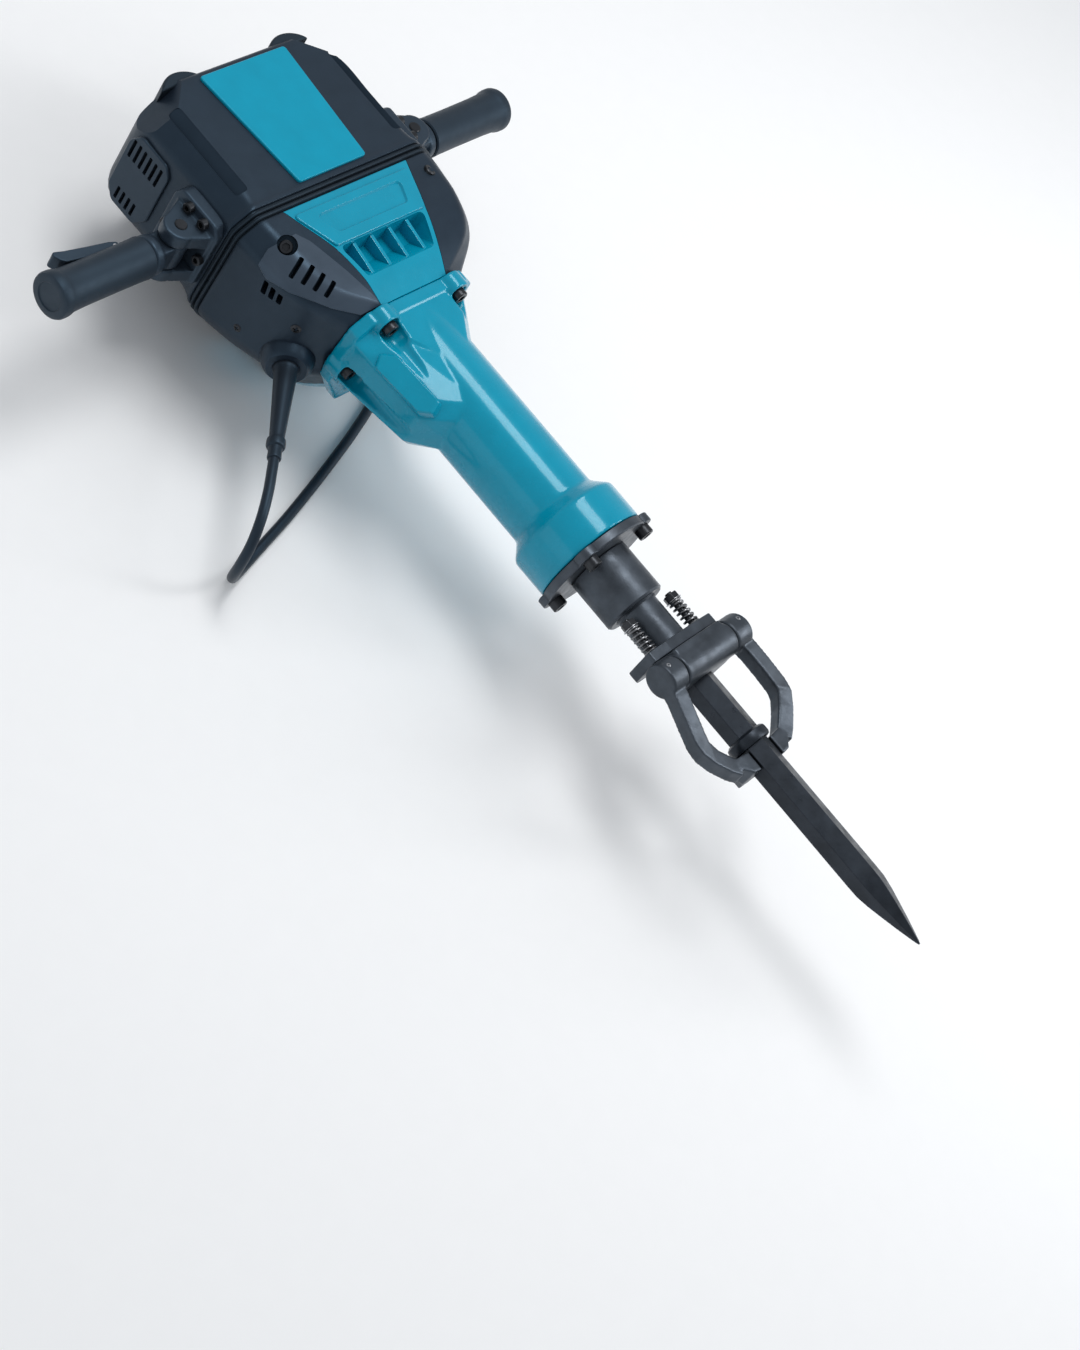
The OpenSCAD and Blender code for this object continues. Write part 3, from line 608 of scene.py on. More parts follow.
def motor_shell():
    """Motor housing: a lofted body with cut front corners, strips on its bevels and side pockets."""
    soften = [(9 + 7 * (1 - math.cos(a)), 7 * (1 - math.sin(a)))
              for a in (math.radians(15 * k) for k in range(6))]
    rings = [ring_at(y, blend_rows(MOTOR_ROWS, y), MOTOR_RADII, t) for y, t in soften]
    rings += [ring_at(y, blend_rows(MOTOR_ROWS, y), MOTOR_RADII) for y in range(18, 150, 6)]
    # lip that flares out to the seam
    rings += [ring_at(y, blend_rows(MOTOR_ROWS, min(y, 158)), MOTOR_RADII, t)
              for y, t in ((150, 0.0), (153, -0.6), (155.5, -1.0), (157.2, -0.6), (158, 0.6))]
    shell = skin("motor_shell", rings)
    # slanted facet on both front corners
    for side in (1, -1):
        n = Vector((CORNER_N.x * side, CORNER_N.y, CORNER_N.z))
        u, v = frame_along(n)
        at = n.normalized() * (CORNER_C / n.length)
        corners = [at + u * i * 220 + v * j * 220 + n * k
                   for i in (-1, 1) for j in (-1, 1) for k in (0, 120)]
        cut(shell, hull("corner", corners))
    bevel(shell, 5.0, 5, 24)
    # shallow strips on the front bevels, and the pockets behind the slotted covers
    for side in (1, -1):
        across = Vector((side * 19, 0, 19)).normalized()
        mid = Vector((side * 99.5, 0, 60.5))
        along = Vector((side * 0.03, 1, 0)).normalized()
        flat = across.cross(along)
        strip = rounded([(-6.5, 36), (6.5, 36), (6.5, 138), (-6.5, 138)], 5)
        rings = [[tuple(mid + flat * s + Vector((0, y, 0)) + across * k) for s, y in strip]
                 for k in (3.8, 40)]
        cut(shell, skin("strip", rings))
        pocket = rounded([(30, -44), (74, -44), (74, 32), (30, 32)], 6)
        cut(shell, prism("pocket", pocket, "x", side * (MOTOR_W - VENT_DEPTH), side * (MOTOR_W + 20)))
    return shell


piece(motor_shell(), NYLON, node="motor_housing", angle=28)


def front_panel():
    outline = rounded(mirrored([(56, 17), (45, 151)]), 4)
    return bevel(prism("front_panel_plate", outline, "z", FRONT_Z - 1, FRONT_Z + 3), 1.3, 3)


piece(front_panel(), PANEL, node="front_panel")


def bumper(side, name):
    """Rubber pad that wraps the top end, with a round top edge."""
    outline = [(70 * side + x * side, y)
               for x, y in [(27, 14)] + arc(0, 32, 32, -46, -134, 14) + [(-27, 14)]]
    return bevel(prism(f"top_bumper_{name}", outline, "z", -60, 64), 5, 4, 40)


for side, name in SIDES:
    piece(bumper(side, name), RUBBER, node="top_bumpers")


def end_cover():
    """Side cover of the motor housing, with two rows of slots."""
    outline = rounded([(26, -34), (36, -48), (68, -48), (80, -32), (80, 28), (72, 38), (36, 38), (26, 24)],
                      9)
    cover = bevel(prism("end_cover_left", outline, "x", MOTOR_W - 2, MOTOR_W + 3), 1.6, 3)
    for count, y0, z0, z1 in ((6, 31, 8, 30), (4, 38, -42, -27)):
        for i in range(count):
            a = y0 + VENT_PITCH * i
            b = a + VENT_W
            slot = rounded([(a, z0), (b, z0), (b, z1), (a, z1)], 1.2, 3)
            cut(cover, prism("slot", slot, "x", MOTOR_W - 8, MOTOR_W + 10))
    return cover


left_cover = end_cover()
right_cover = flipped(left_cover, "end_cover_right")
piece(left_cover, COVER, node="motor_end_cover_left")
piece(right_cover, COVER, node="motor_end_cover_right")
for side, name in SIDES:
    # painted shade: a dark plate at the bottom of the pocket behind the slots stands for the shade inside
    x0, x1 = sorted(side * (MOTOR_W - VENT_DEPTH + lift) for lift in (0.5, 2))
    piece(box(f"painted_shade_plate_{name}", (x0, 30.2, -43.8), (x1, 73.8, 31.8)), DARK)


def seam_gasket():
    """Rubber band round the seam, with two ribs."""
    rib = ((0, -0.9), (0.8, -1.6), (1.8, -1.6), (2.6, -0.9))
    steps = [(157.4, 2.0), (159, 2.6), (160.0, 2.4)] + [(160.6 + y, t) for y, t in rib]
    steps += [(163.8, 2.4), (164.6, 2.6), (165.4, 2.4)] + [(166.0 + y, t) for y, t in rib]
    steps += [(169.2, 2.4), (171.0, 2.6)]
    return skin("seam_gasket_ring", [ring_at(y, SEAM, SEAM_RADII, t) for y, t in steps])


piece(seam_gasket(), RUBBER, node="seam_gasket", angle=50)
pad = bevel(prism("back_pad_block", mirrored([(40, -BACK_Z + 1), (34, -AXIS)]), "y", 54, 224), 3, 3)
piece(pad, RUBBER, node="back_pad")

# ------------ crank housing
CRANK_ROWS = [
    (SEAM_Y, SEAM),
    (182, (110, 68, 130.5, 51, 54, 51, 131)),
    (222, (106, 67.5, 124.5, 48, 49, 38, 130)),
    (257, (90, 60, 109, 44, 46, 34, 115)),
    (283, (45, 48, 79, 34, 38, 28, 90)),
]
CRANK_STEPS = (172, 176, 181, 187, 194, 201, 208, 215, 222, 229, 236, 243, 249, 255, 260, 265, 270, 275,
               279, 283)
MIDDLE = [(84, 168), (62, 222), (50, 260), (43, 290)]  # edge of the cast middle, as x and y


def crank_shell(name, t=0.0):
    """Outer form of the crank housing, moved inwards by t."""
    lip = SEAM_Y + 0.6
    rings = [ring_at(SEAM_Y, SEAM, SEAM_RADII, t + 1.4),
             ring_at(lip, blend_rows(CRANK_ROWS, lip), SEAM_RADII, t + 0.5)]
    rings += [ring_at(y, blend_rows(CRANK_ROWS, y), SEAM_RADII, t) for y in CRANK_STEPS]
    return skin(name, rings)


def middle_prism(g=0.0):
    """The width of the cast middle, with a gap of g on each side."""
    return prism("middle", mirrored([(x + g, y) for x, y in MIDDLE]), "z", -200, 200)


def left_half(name):
    """The crank housing on the trigger side of its cast middle."""
    return cut(crank_shell(name), middle_prism(0.6), box("half", (-260, 100, -260), (0, 400, 260)))


def pocketed_case():
    """Cast middle of the crank housing, with its bore and the pocket in its front."""
    case = keep(crank_shell("crank_case_cast"), middle_prism())
    bevel(case, 1.4, 3, 50)
    # pocket under the front cover, deeper towards its lower edge
    mouth = rounded([(-57, 223), (57, 223), (45, 259), (-45, 259)], 6)
    floor = rounded([(-54, 224), (54, 224), (46, 240), (-46, 240)], 5)
    cut(case, rod("bore", 35, 160, 300))
    levels = ((mouth, 80), (mouth, 61), (floor, 49))
    cut(case, skin("pocket", [[(x, y, z) for x, y in line] for line, z in levels]))
    return case


piece(pocketed_case(), TEAL, node="crank_case", angle=30)


def front_cover():
    """Raised panel above the pocket, with a sunk field in its face."""
    outline = rounded([(79, 178.5), (-79, 178.5), (-60, 222), (60, 222)], 5)
    cover = bevel(prism("crank_front_panel", outline, "z", FRONT_Z - 3, FRONT_Z + 2.2), 1.6, 4)
    field = rounded([(58, 187), (-58, 187), (-47, 211), (47, 211)], 6)
    levels = ((inset(field, -0.8), 4), (field, 2), (inset(field, 1.6), -0.2))
    cut(cover, skin("field", [[(x, y, FRONT_Z + z) for x, y in line] for line, z in levels]))
    return bevel(cover, 0.5, 2, 40)


piece(front_cover(), TEAL, node="crank_front_cover")
RIB_SIDE = ((223, 48), (223, 64), (229, 62), (248, 55), (258, 58), (240, 48))
for i, x in enumerate((-36, -12, 12, 36)):
    rib = hull(f"pocket_rib_{i}", [(x + sx, y, z) for sx in (-2, 2) for y, z in RIB_SIDE])
    piece(bevel(rib, 0.9, 2), TEAL)


def slot_cutter(at, along, across, length, width, depth):
    """Rounded slot through a surface: long side along one direction, narrow side along another."""
    d, w = Vector(along).normalized(), Vector(across).normalized()
    n, at = d.cross(w), Vector(at)
    outline = rounded(mirrored([(length / 2, -width / 2), (length / 2, width / 2)]), width * 0.3, 3)
    return skin("slot", [[tuple(at + d * a + w * b + n * k) for a, b in outline] for k in (-depth, depth)])


ARM_DOWN = Vector((-0.50, 0.84, -0.10)).normalized()
ARM_OUT = Vector((0.60, 0.30, 0.74)).normalized()
ARM_EDGE = [(129, 198, 47), (118, 193, 58), (92, 196, 71), (84, 208, 71), (68, 246, 66), (50, 276, 54),
            (48, 283, 50), (72, 283, 48), (92, 264, 44), (118, 232, 42), (128, 211, 42)]
WELL_AT = (101, 199, 62)  # recess for the cover's upper screw


def side_cover():
    """Moulded cover on the trigger side, with the boss that the cord leaves from."""
    cover = left_half("side_cover_left_shell")
    boss = [(0.1, -10), (27, 8), (25, 24), (22, 31), (19, 34), (0.1, 34)]
    join(cover, lathe("boss", boss, GUARD_AT, GUARD_DIR, 56))
    return bevel(cover, 1.0, 3, 35)


def cover_arm():
    """Raised arm that runs down the cover's front edge, from the screw recess to the barrel."""
    outline = skin("arm_outline", [[tuple(Vector(p) + ARM_OUT * k) for p in ARM_EDGE] for k in (-26, 30)])
    arm = keep(crank_shell("side_cover_arm", -3.0), outline, box("half", (0, 100, -260), (260, 283, 260)))
    cut(arm, crank_shell("under", 0.5), middle_prism(0.6))
    return bevel(arm, 0.9, 3, 40)


cover_l, arm_l = side_cover(), cover_arm()
half = left_half("side_cover_half")
cover_r = flipped(bevel(half, 1.0, 3, 40), "side_cover_right_shell")
bpy.data.objects.remove(half)
for i in range(4):
    at = Vector((109 - 5.6 * i, 221 + 10.4 * i, 60.5 - 0.6 * i))
    for part in (cover_l, arm_l):
        cut(part, slot_cutter(at, ARM_OUT.cross(ARM_DOWN), ARM_DOWN, 21 - 1.5 * i, 4.8, 13))
for i in range(3):
    at = (125.5 - 1.8 * i, 213.5 + 8.2 * i, 32)
    cut(cover_l, slot_cutter(at, (0.1, -0.12, 1), (-0.3, 1, 0), 15 - 2 * i, 5.4, 14))
for i in range(4):
    at = (112 - 5 * i, 200 + 12 * i, -74)
    cut(cover_l, slot_cutter(at, (-0.7, 0, -0.7), (-0.3, 1, 0), 16, 4, 16))
for part in (arm_l, cover_l):
    cut(part, rod("well", 9.5, -5, 34, WELL_AT, ARM_OUT, 0.1, 32))
cut(cover_l, rod("gland_hole", 13, -30, 45, GUARD_AT, GUARD_DIR, 0.1, 32))
piece(cover_l, NYLON, node="side_cover_left", angle=30)
piece(cover_r, NYLON, node="side_cover_right", angle=30)
piece(arm_l, ARM, angle=30)
cap_screw("cover_screw_left", (*WELL_AT[:2], WELL_AT[2] - 2.5), ARM_OUT, 6.4, 5, "cover_screws")
cap_screw("cover_screw_right", (-98, 190, 64.5), (-0.35, 0, 0.94), 6.2, 5)
recess_screw("cover_screw_low", (110.8, 254, 12), (0.79, 0.62, 0.0), 5)
recess_screw("cover_screw_back", (126.5, 212, -30), (0.98, 0.18, 0.0), 4)


# ------------ cord gland and guard
def cord_gland():
    """Collar round the cord's way out, with the clip that holds it."""
    profile = [(11.5, -12), (19, -8), (19.5, 6), (17.5, 12), (14, 15), (12.2, 16), (12.2, 12)]
    clip = ((84, 236), (106, 230), (112, 246), (96, 262))
    return join(lathe("cord_boss", profile, GUARD_AT, GUARD_DIR, 48),
                bevel(hull("clip", [(x, y, z) for x, y in clip for z in (-14, 2)]), 3, 3))


piece(cord_gland(), CORD, node="cord_clamp", angle=40)


def cord_guard():
    """Tapered sleeve with a collar near its end."""
    profile = [(10.4, 8), (12.4, 26), (12.6, 35), (12.2, 37), (11.2, 38.5), (10.6, 46), (9.2, 72),
               (7.9, 98), (7.2, 112), (7.0, 117), (7.3, 118.5), (8.6, 119.5), (8.9, 121.5), (8.9, 126),
               (8.2, 127.8), (6.6, 129), (6.3, 134), (6.6, 139.5), (6.2, 141), (5.4, 141.6)]
    return lathe("bend_guard", profile, GUARD_AT, GUARD_DIR, 40)


piece(cord_guard(), CORD, node="cord_guard", angle=30)

# ------------ barrel
BOLTS = [(48, 40), (72, -12)]  # x and z of the bolts on the trigger side
BOLT_Y = 300
FLANGE_X, FLANGE_Z = 38, 34  # bolts of the flange plate


def barrel():
    """Cast tube with its webs, the bulge on the trigger side, and a lug and a well for each bolt."""
    profile = [(44, 286), (44, 517), (46, 520), (55.5, 530), (57, 532.5), (57, FLANGE_Y1)]
    cast = lathe("barrel_cast", profile, n=96)
    flange = mirrored([(46, 47.5), (64, 46.5), (80, 32), (84, -16), (79, -36), (42, -84)])
    web_top = mirrored([(40, 45), (58, 44), (74, 28), (76, -28), (38, -72)])
    web_end = mirrored([(18, 40), (38, 20), (40, -16), (20, -40)])
    bulge = ((296, ((24, 42), (56, 38), (79, 24), (80, -24), (60, -44), (20, -46))),
             (382, ((20, 34), (48, 28), (67, 12), (65, -24), (50, -38), (20, -42))),
             (409, ((14, 36), (34, 22), (42, -2), (38, -20), (14, -36))))
    for name, rows in (("flange", ((283, flange), (296, flange))),
                       ("webs", ((290, web_top), (348, web_end))),
                       ("bulge", bulge)):
        join(cast, hull(name, [(x, y, z) for y, row in rows for x, z in row]))
    places = [(side * x, 0, z) for side in (1, -1) for x, z in BOLTS]
    for at in places:
        join(cast, rod("lug", 14, 284, BOLT_Y + 2, at))
    well = [(10.8, BOLT_Y - 1), (10.8, BOLT_Y + 16), (8.4, BOLT_Y + 26), (8.4, BOLT_Y + 130)]
    for at in places:
        cut(cast, lathe("well", well, at, n=40))
    return cut(forge(cast, 1.3, 9), rod("bore", 37, 270, 560, edge=0.1), rod("mouth", 28, 540, 580, edge=0.1))


piece(barrel(), TEAL, node="barrel_housing", angle=45, weighted=False)


def bulge_pad():
    """Flat cast field on the bulge, with a bright chamfered rim."""
    lift = Vector((0.62, 0.10, 0.78)).normalized()
    down = Vector((-0.16, 1, -0.02))
    down = (down - down.dot(lift) * lift).normalized()
    side = down.cross(lift)
    at = Vector((65.5, 352, 28.0))
    outline = rounded([(-34, -3), (-28, 9), (26, 11), (36, 3), (33, -9), (-22, -12)], 4)
    rings = [[tuple(at + down * a * g + side * b * g + lift * k) for a, b in outline]
             for g, k in ((1.12, -9), (1.04, 0.2), (0.98, 1.6), (0.9, 1.9))]
    return skin("bulge_pad", rings)


piece(bulge_pad(), TEAL, angle=30)
for i, (x, z) in enumerate(BOLTS):
    for side, name in SIDES:
        cap_screw(f"barrel_bolt_{i}_{name}", (side * x, BOLT_Y - 1, z), (0, 1, 0), 7.6, 9, "barrel_bolts")
disc = [(28, FLANGE_Y1 + 0.4), (56, FLANGE_Y1 + 0.4), (57.6, FLANGE_Y1 + 1.2), (57.6, PLATE_Y1 - 1.2),
        (56.4, PLATE_Y1), (28, PLATE_Y1)]
plate = lathe("flange_plate_disc", disc, n=96, closed=True)
for name, sx, sz in (("lf", 1, 1), ("lb", 1, -1), ("rf", -1, 1), ("rb", -1, -1)):
    x, z = sx * FLANGE_X, sz * FLANGE_Z
    join(plate, rod("ear", 12.5, FLANGE_Y1 + 0.8, PLATE_Y1 - 0.2, (x, 0, z)))
    cap_screw(f"flange_bolt_{name}", (x, PLATE_Y1, z), (0, 1, 0), 7.6, 9, "flange_bolts")
    stud = rod(f"flange_stud_{name}", 4.1, PLATE_Y1 - 6, PLATE_Y1 + 1, (x, 0, z))
    piece(stud, OXIDE, node="flange_bolts")
piece(plate, FORGED, node="flange_plate")

# ------------ tool holder and retainer
SLEEVE_R, NECK_R, SLEEVE_Y1 = 31, 21, 635
PIVOT = (0, 707, 24)
HUB_R, HUB_HALF, EAR_HALF = 17, 37.5, 60
SPRING_X, SPRING_Z, SPRING_Y0, SPRING_Y1 = 32, 12, 650, 678.5
BLOCK_Y0, BLOCK_Y1, RETAINER_T = 690, 723, 11


def tool_holder():
    return lathe("holder_sleeve", [
        (27, PLATE_Y1 - 6), (27, PLATE_Y1), (SLEEVE_R - 1, PLATE_Y1), (SLEEVE_R, PLATE_Y1 + 1.2),
        (SLEEVE_R, SLEEVE_Y1 - 2), (SLEEVE_R - 2, SLEEVE_Y1), (NECK_R + 2, SLEEVE_Y1),
        (NECK_R, SLEEVE_Y1 + 2), (NECK_R, 694)])


def holder_block():
    """Cross block under the hub that the yoke's pin goes through."""
    base = mirrored([(HUB_HALF, 26), (HUB_HALF, 6), (24, -21)])
    web = ((BLOCK_Y0 + 1, 10), (BLOCK_Y0 + 1, 38), (BLOCK_Y1, 10), (BLOCK_Y1 - 11, 40))
    block = hull("holder_block", [(x, y, z) for x, z in base for y in (BLOCK_Y0, BLOCK_Y1)])
    join(block, rod("hub", HUB_R, -HUB_HALF, HUB_HALF, PIVOT, (1, 0, 0), 1),
         hull("web", [(x, y, z) for x in (34, -34) for y, z in web]))
    forge(block, 0.9, 10)
    return cut(block, hex_bar("bore", 16.9, BLOCK_Y0, 740),
               rod("pin_bore", 6.05, -50, 50, PIVOT, (1, 0, 0)))


piece(tool_holder(), FORGED, node="tool_holder")
piece(holder_block(), FORGED, angle=45, weighted=False)


def retainer_plate():
    """Plate that the two springs push against the holder's block."""
    outline = rounded(mirrored([(24, 26), (46.4, 23), (47.4, 18), (47.4, -12), (40, -20)]), 3)
    plate = prism("retainer_plate_forged", outline, "y", SPRING_Y1, SPRING_Y1 + RETAINER_T)
    bevel(plate, 1.2, 3)
    return cut(plate, rod("bore", 21.4, 670, 700))


piece(retainer_plate(), FORGED, "retainer_plate", "retainer_plate")


def spring(side, name):
    """Coil spring on a bolt, between its seat and the retainer plate."""
    turns, steps, wire, radius = 6.5, 20, 1.25, 6.0
    start, end = SPRING_Y0 + wire, SPRING_Y1 - wire
    path = []
    for k in range(int(turns * steps) + 1):
        t = k / (turns * steps)
        a = 2 * math.pi * turns * t
        # the end turns lie flat
        y = start + (end - start) * min(max((t * turns - 0.6) / (turns - 1.2), 0), 1)
        path.append((side * SPRING_X + radius * math.cos(a), y, SPRING_Z + radius * math.sin(a)))
    return tube(f"retainer_spring_{name}", path, wire, 10)


for side, name in SIDES:
    at = (side * SPRING_X, 0, SPRING_Z)
    coil = piece(spring(side, name), SPRING, node="retainer_springs", weighted=False)
    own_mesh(coil)
    shank = rod(f"retainer_bolt_shank_{name}", 3.5, SPRING_Y0 - 9, 702, at, edge=0.3)
    piece(shank, OXIDE, node="retainer_bolts")
    nut = hex_bar(f"retainer_bolt_nut_{name}", 7.6, SPRING_Y0 - 7, SPRING_Y0 - 0.6, at)
    piece(bevel(nut, 0.7, 2), OXIDE)
    washer = rod(f"spring_seat_{name}", 8.4, SPRING_Y0 - 0.6, SPRING_Y0 + 0.2, at, edge=0.2)
    piece(washer, STEEL)


# Middle of each section of a yoke arm, and its half width across the arm
YOKE_STATIONS = [(50, 709, 24, 9), (54, 728, 21.5, 8), (58.3, 748, 17, 8), (62, 768, 12, 8),
                 (61.5, 777, 9.5, 8.2), (54, 789, 5, 8), (42, 802, 1, 8.2), (33, 809.5, -1, 8.0)]
YOKE_ARM_HALF = 8  # half height of the arms
# Sections of a foot: x, then the ends along y and along z
FOOT_SECTIONS = [(17, (801, 821), (-18, 9)), (27, (800.5, 820), (-14, 9)), (37, (799.5, 809), (-9, 8))]


def yoke_side(side):
    """The parts of one side of the yoke: its arm in stretches, its ear and its foot."""
    sections = []
    for k, (x, y, z, half) in enumerate(YOKE_STATIONS):
        before = YOKE_STATIONS[max(k - 1, 0)]
        after = YOKE_STATIONS[min(k + 1, len(YOKE_STATIONS) - 1)]
        lean = Vector((after[0] - before[0], after[1] - before[1], 0)).normalized()
        over = Vector((lean.y, -lean.x, 0)) * half
        sections.append([(side * (x + over.x * sx), y + over.y * sx, z + sz * YOKE_ARM_HALF)
                         for sx in (-1, 1) for sz in (-1, 1)])
    ear = sorted((side * (HUB_HALF + 0.5), side * EAR_HALF))
    foot = [(side * x, y, z) for x, ys, zs in FOOT_SECTIONS for y in ys for z in zs]
    return [hull("arm", a + b) for a, b in zip(sections, sections[1:])] + [
        rod("ear", HUB_R, *ear, PIVOT, (1, 0, 0), 1.2), hull("foot", foot)]


def yoke():
    """Forged loop: two ears, two bent arms, two feet and the web that joins them behind the shank."""
    bar, *rest = yoke_side(1) + yoke_side(-1)
    web = [(x, y, z) for x, z in ((-27, -14), (27, -14), (-22, -26), (22, -26)) for y in (801.5, 820)]
    join(bar, *rest, hull("web", web))
    bar.name = "yoke_forged"
    forge(bar, 0.95, 7)
    for side, _ in SIDES:
        cut(bar, rod("pin_bore", 6.0, *sorted((side * 30, side * 58.6)), PIVOT, (1, 0, 0)))
    return cut(bar, box("shank_way", (-15.4, 790, -17.2), (15.4, 830, 30)))


piece(yoke(), FORGED, "yoke", "yoke", 45, False)
pivot = rod("pivot_pin_bar", 5.98, -59.4, 59.4, PIVOT, (1, 0, 0), 0.8)
piece(pivot, STEEL, "yoke", "pivot_pin")
for side, name in SIDES:
    pin = lathe(f"roll_pin_{name}", [(2.3, 13), (2.3, 18.6), (1.9, 19.1), (1.0, 19.1), (1.0, 17)],
                (side * 53, PIVOT[1], PIVOT[2] - 2), (0, -0.35, 0.94), 24)
    piece(pin, STEEL, "yoke", "yoke_roll_pins")


HEX_FLATS = 28.6  # across the flats of the shank
# Distance along the chisel, and the share of the shank's width it has there
CHISEL_TAPER = ((625, 0.93), (627, 1.0), (787, 1.0), (799, 1.0), (950, 1.0), (962, 0.985), (975, 0.86),
                (990, 0.66), (1005, 0.45), (1018, 0.25), (1026, 0.12), (CHISEL_POINT, 0.05))


def chisel():
    """Hexagonal shank with a round collar, drawn to a point."""
    hex_r = HEX_FLATS / 2 / math.cos(math.pi / 6)
    rings = []
    for y, scale in CHISEL_TAPER:
        outline = rounded(arc(0, 0, hex_r * scale, 30, 330, 5), 0.8, 3)
        rings.append([(x, y, z) for x, z in outline])
    collar = [(14, 786), (18, 787), (20.6, 789), (21, 791), (21, 796), (20, 798.4), (18.5, 799), (14, 799)]
    return join(skin("point_chisel", rings), lathe("collar", collar, n=56))


piece(chisel(), SHANK, "chisel", "chisel", 25)

# ------------ handles
HANDLE_Y, HANDLE_Z, ROCK_X, GRIP_X0 = 128, 4, 158, 190
ROCK_AT, UPRIGHT = (ROCK_X, HANDLE_Y, 0), (0, 0, 1)  # line of the rocking pin
BRACKET_EDGE = [(96, -34), (150, -34), (157, -26), (157, 36), (149, 46), (103, 46), (96, 36)]


def bracket():
    """Base plate with a clevis of two lugs for the rocking pin."""
    base = prism("handle_bracket_left", rounded(BRACKET_EDGE, 7), "x", MOTOR_W - 3, MOTOR_W + 13)
    lug = ((MOTOR_W + 10, 102), (ROCK_X, 111), (ROCK_X, 145), (MOTOR_W + 10, 154))
    for z0, z1 in ((-27, -12), (20, 35)):
        join(base, hull("lug", [(x, y, z) for x, y in lug for z in (z0, z1)]),
             rod("eye", 16.5, z0, z1, ROCK_AT, UPRIGHT))
    root = ((6, (98, 156), (-30, 40)), (18, (106, 150), (-24, 32)))
    join(base, hull("root", [(MOTOR_W + x, y, z) for x, ys, zs in root for y in ys for z in zs]))
    forge(base, 1.2, 6)
    return cut(base, box("mouth", (MOTOR_W + 14, 90, -11.6), (190, 170, 19.6)),
               rod("eye_bore", 6.05, -50, 50, ROCK_AT, UPRIGHT))


left_bracket = bracket()
right_bracket = flipped(left_bracket, "handle_bracket_right")
piece(left_bracket, COVER, node="left_bracket", angle=40, weighted=False)
piece(right_bracket, COVER, node="right_bracket", angle=40, weighted=False)


def handle_arm():
    """Eye on the rocking pin, neck and shoulder."""
    arm = rod("handle_arm_left", 15, -11, 19, ROCK_AT, UPRIGHT)
    join(arm, bevel(box("neck", (ROCK_X, HANDLE_Y - 13, -11), (ROCK_X + 26, HANDLE_Y + 13, 19)), 3, 3),
         rod("shoulder", 19, ROCK_X + 21, GRIP_X0, (0, HANDLE_Y, HANDLE_Z), (1, 0, 0), 2))
    forge(arm, 1.0, 6)
    return cut(arm, rod("eye_bore", 6.1, -50, 50, ROCK_AT, UPRIGHT))


def grip():
    """Rubber sleeve that widens into a rim round a sunk end face; distances from its inner end."""
    profile = [(11, 0.2), (18.5, 0.2), (19.8, 1.4), (20, 4), (19.6, 10), (19.4, 40), (19.6, 80), (20.2, 96),
               (21.6, 101), (22, 104), (22, 108.5), (21, 111), (18.5, 112), (14, 112), (13, 111),
               (0.02, 111)]
    return lathe("grip_left", profile, (GRIP_X0, HANDLE_Y, HANDLE_Z), (1, 0, 0))


left_arm, left_grip = handle_arm(), grip()
right_arm, right_grip = flipped(left_arm, "handle_arm_right"), flipped(left_grip, "grip_right")
TRIGGER_X, TRIGGER_HALF = (208, 276), 8
way = TRIGGER_HALF + 0.6
cut(left_grip, box("trigger_way", (TRIGGER_X[0] - 3, HANDLE_Y - 30, HANDLE_Z - way),
                   (TRIGGER_X[1] + 3, HANDLE_Y - 12, HANDLE_Z + way)))
piece(left_arm, COVER, "left_handle", "left_handle_arm", weighted=False)
piece(right_arm, COVER, "right_handle", "right_handle_arm", weighted=False)
piece(left_grip, GRIP, "left_handle", "left_grip")
piece(right_grip, GRIP, "right_handle", "right_grip")


def trigger():
    """Lever with its pin at the inner end; it stands out of the grip at the outer end."""
    outline = rounded([(208, 114), (208, 108), (216, 105), (240, 101), (262, 97), (273, 94), (276, 97),
                       (272, 104), (268, 107.5), (240, 112), (216, 115.5)], 3)
    lever = prism("trigger_lever", outline, "z", HANDLE_Z - TRIGGER_HALF, HANDLE_Z + TRIGGER_HALF)
    return bevel(lever, 1.6, 4)


piece(trigger(), COVER, "trigger", "trigger")
axle = rod("trigger_axle", 2, HANDLE_Z - 8.5, HANDLE_Z + 8.5, (213, 111, 0), UPRIGHT, 0.2, 24)
piece(axle, STEEL, "left_handle", "trigger_pin")
for side, name in SIDES:
    pin = rod(f"rock_pin_{name}", 6, -28.5, 36.5, (side * ROCK_X, HANDLE_Y, 0), UPRIGHT, 0.8)
    piece(pin, OXIDE, node="rock_pins")
    for i, (y, z) in enumerate(((105, 4), (151, 4), (118, 39.5), (138, 39.5))):
        at = (side * (MOTOR_W + 12.5), y, z)
        cap_screw(f"bracket_bolt_{name}_{i}", at, (side, 0, 0), 5.2, 6.5, "bracket_bolts")

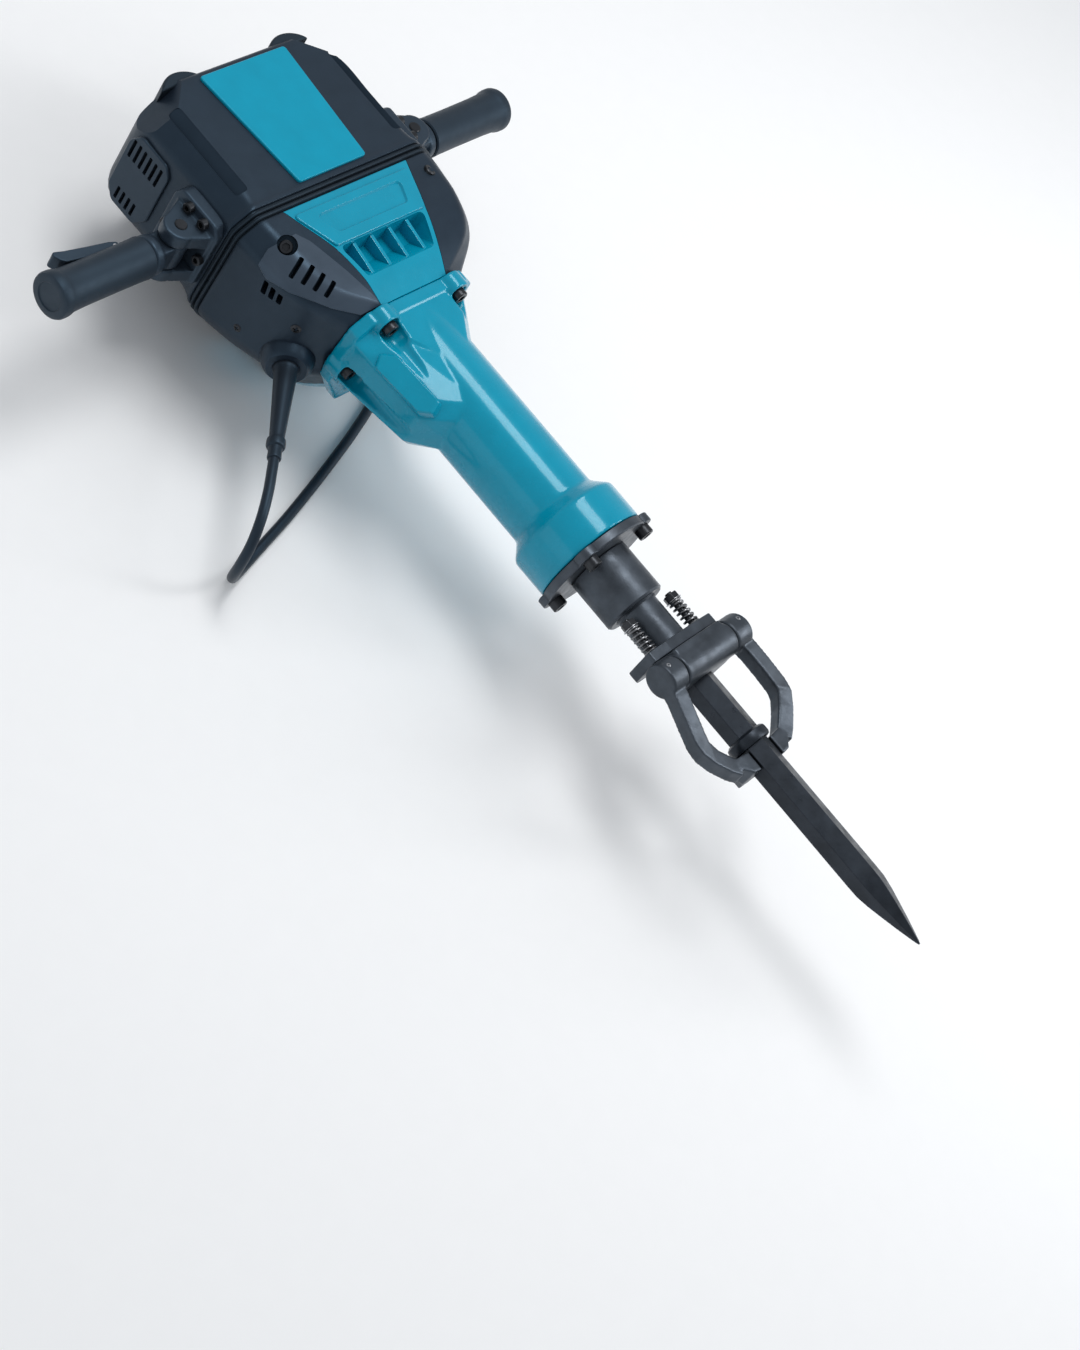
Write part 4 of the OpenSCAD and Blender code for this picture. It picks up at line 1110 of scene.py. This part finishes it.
# ------------ inside parts keep their CAD shape
INSIDE = {
    COPPER: ["commutator", "brush_holders"],
    NYLON: ["switch", "fan"],
    CASTING: ["gear_frame"],
    CORD: ["impact_seal"],
    STEEL: ["stator", "armature", "motor_bearings", "idler_shaft", "crankshaft", "crank_bearings",
            "piston_rod", "piston", "piston_pin", "cylinder", "striker", "impact_bolt"],
}
for mat, names in INSIDE.items():
    for name in names:
        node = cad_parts[name]
        node.data.materials.clear()
        node.data.materials.append(mat)


# ------------ floor and light
FLOOR_HALF = 8.0  # metres
LIGHT_AIM = T((0, 420, 30))


def make_floor():
    mesh = bpy.data.meshes.new("floor")
    corners = [(x * FLOOR_HALF, y * FLOOR_HALF, 0) for x, y in ((-1, -1), (1, -1), (1, 1), (-1, 1))]
    mesh.from_pydata(corners, [], [(0, 1, 2, 3)])
    floor = linked("floor", mesh)
    mesh.materials.append(material("floor", (0.88, 0.885, 0.89), 0.75, (60, 0.1, 0.05), 0.005, specular=0.2))


def area_light(name, right, up, back, size, power):
    """Softbox placed by the camera's own axes, in metres from the point that it is aimed at."""
    data = bpy.data.lights.new(name, "AREA")
    data.shape, data.size, data.size_y, data.energy = "RECTANGLE", size[0], size[1], power
    lamp = linked(name, data)
    at = LIGHT_AIM + RIGHT * right + UP * up + BACK * back
    turn = (LIGHT_AIM - at).to_track_quat("-Z", "Y").to_matrix().to_4x4()
    lamp.matrix_world = Matrix.Translation(at) @ turn


def make_world(strength):
    world = bpy.data.worlds.new("studio")
    bpy.context.scene.world = world
    world.use_nodes = True
    background = world.node_tree.nodes["Background"]
    background.inputs["Color"].default_value = (0.93, 0.96, 1.0, 1)
    background.inputs["Strength"].default_value = strength


make_floor()
make_world(0.52)
# metres to the right, up and back, then the size in metres and the power in watts
area_light("key", 0.9, 1.6, 1.4, (0.7, 1.5), 27)
area_light("rim", 1.8, 0.2, 0.2, (0.4, 1.6), 14)
area_light("fill", -1.4, -0.6, 1.4, (1.5, 1.5), 4)
bpy.context.scene.view_settings.view_transform = "Standard"
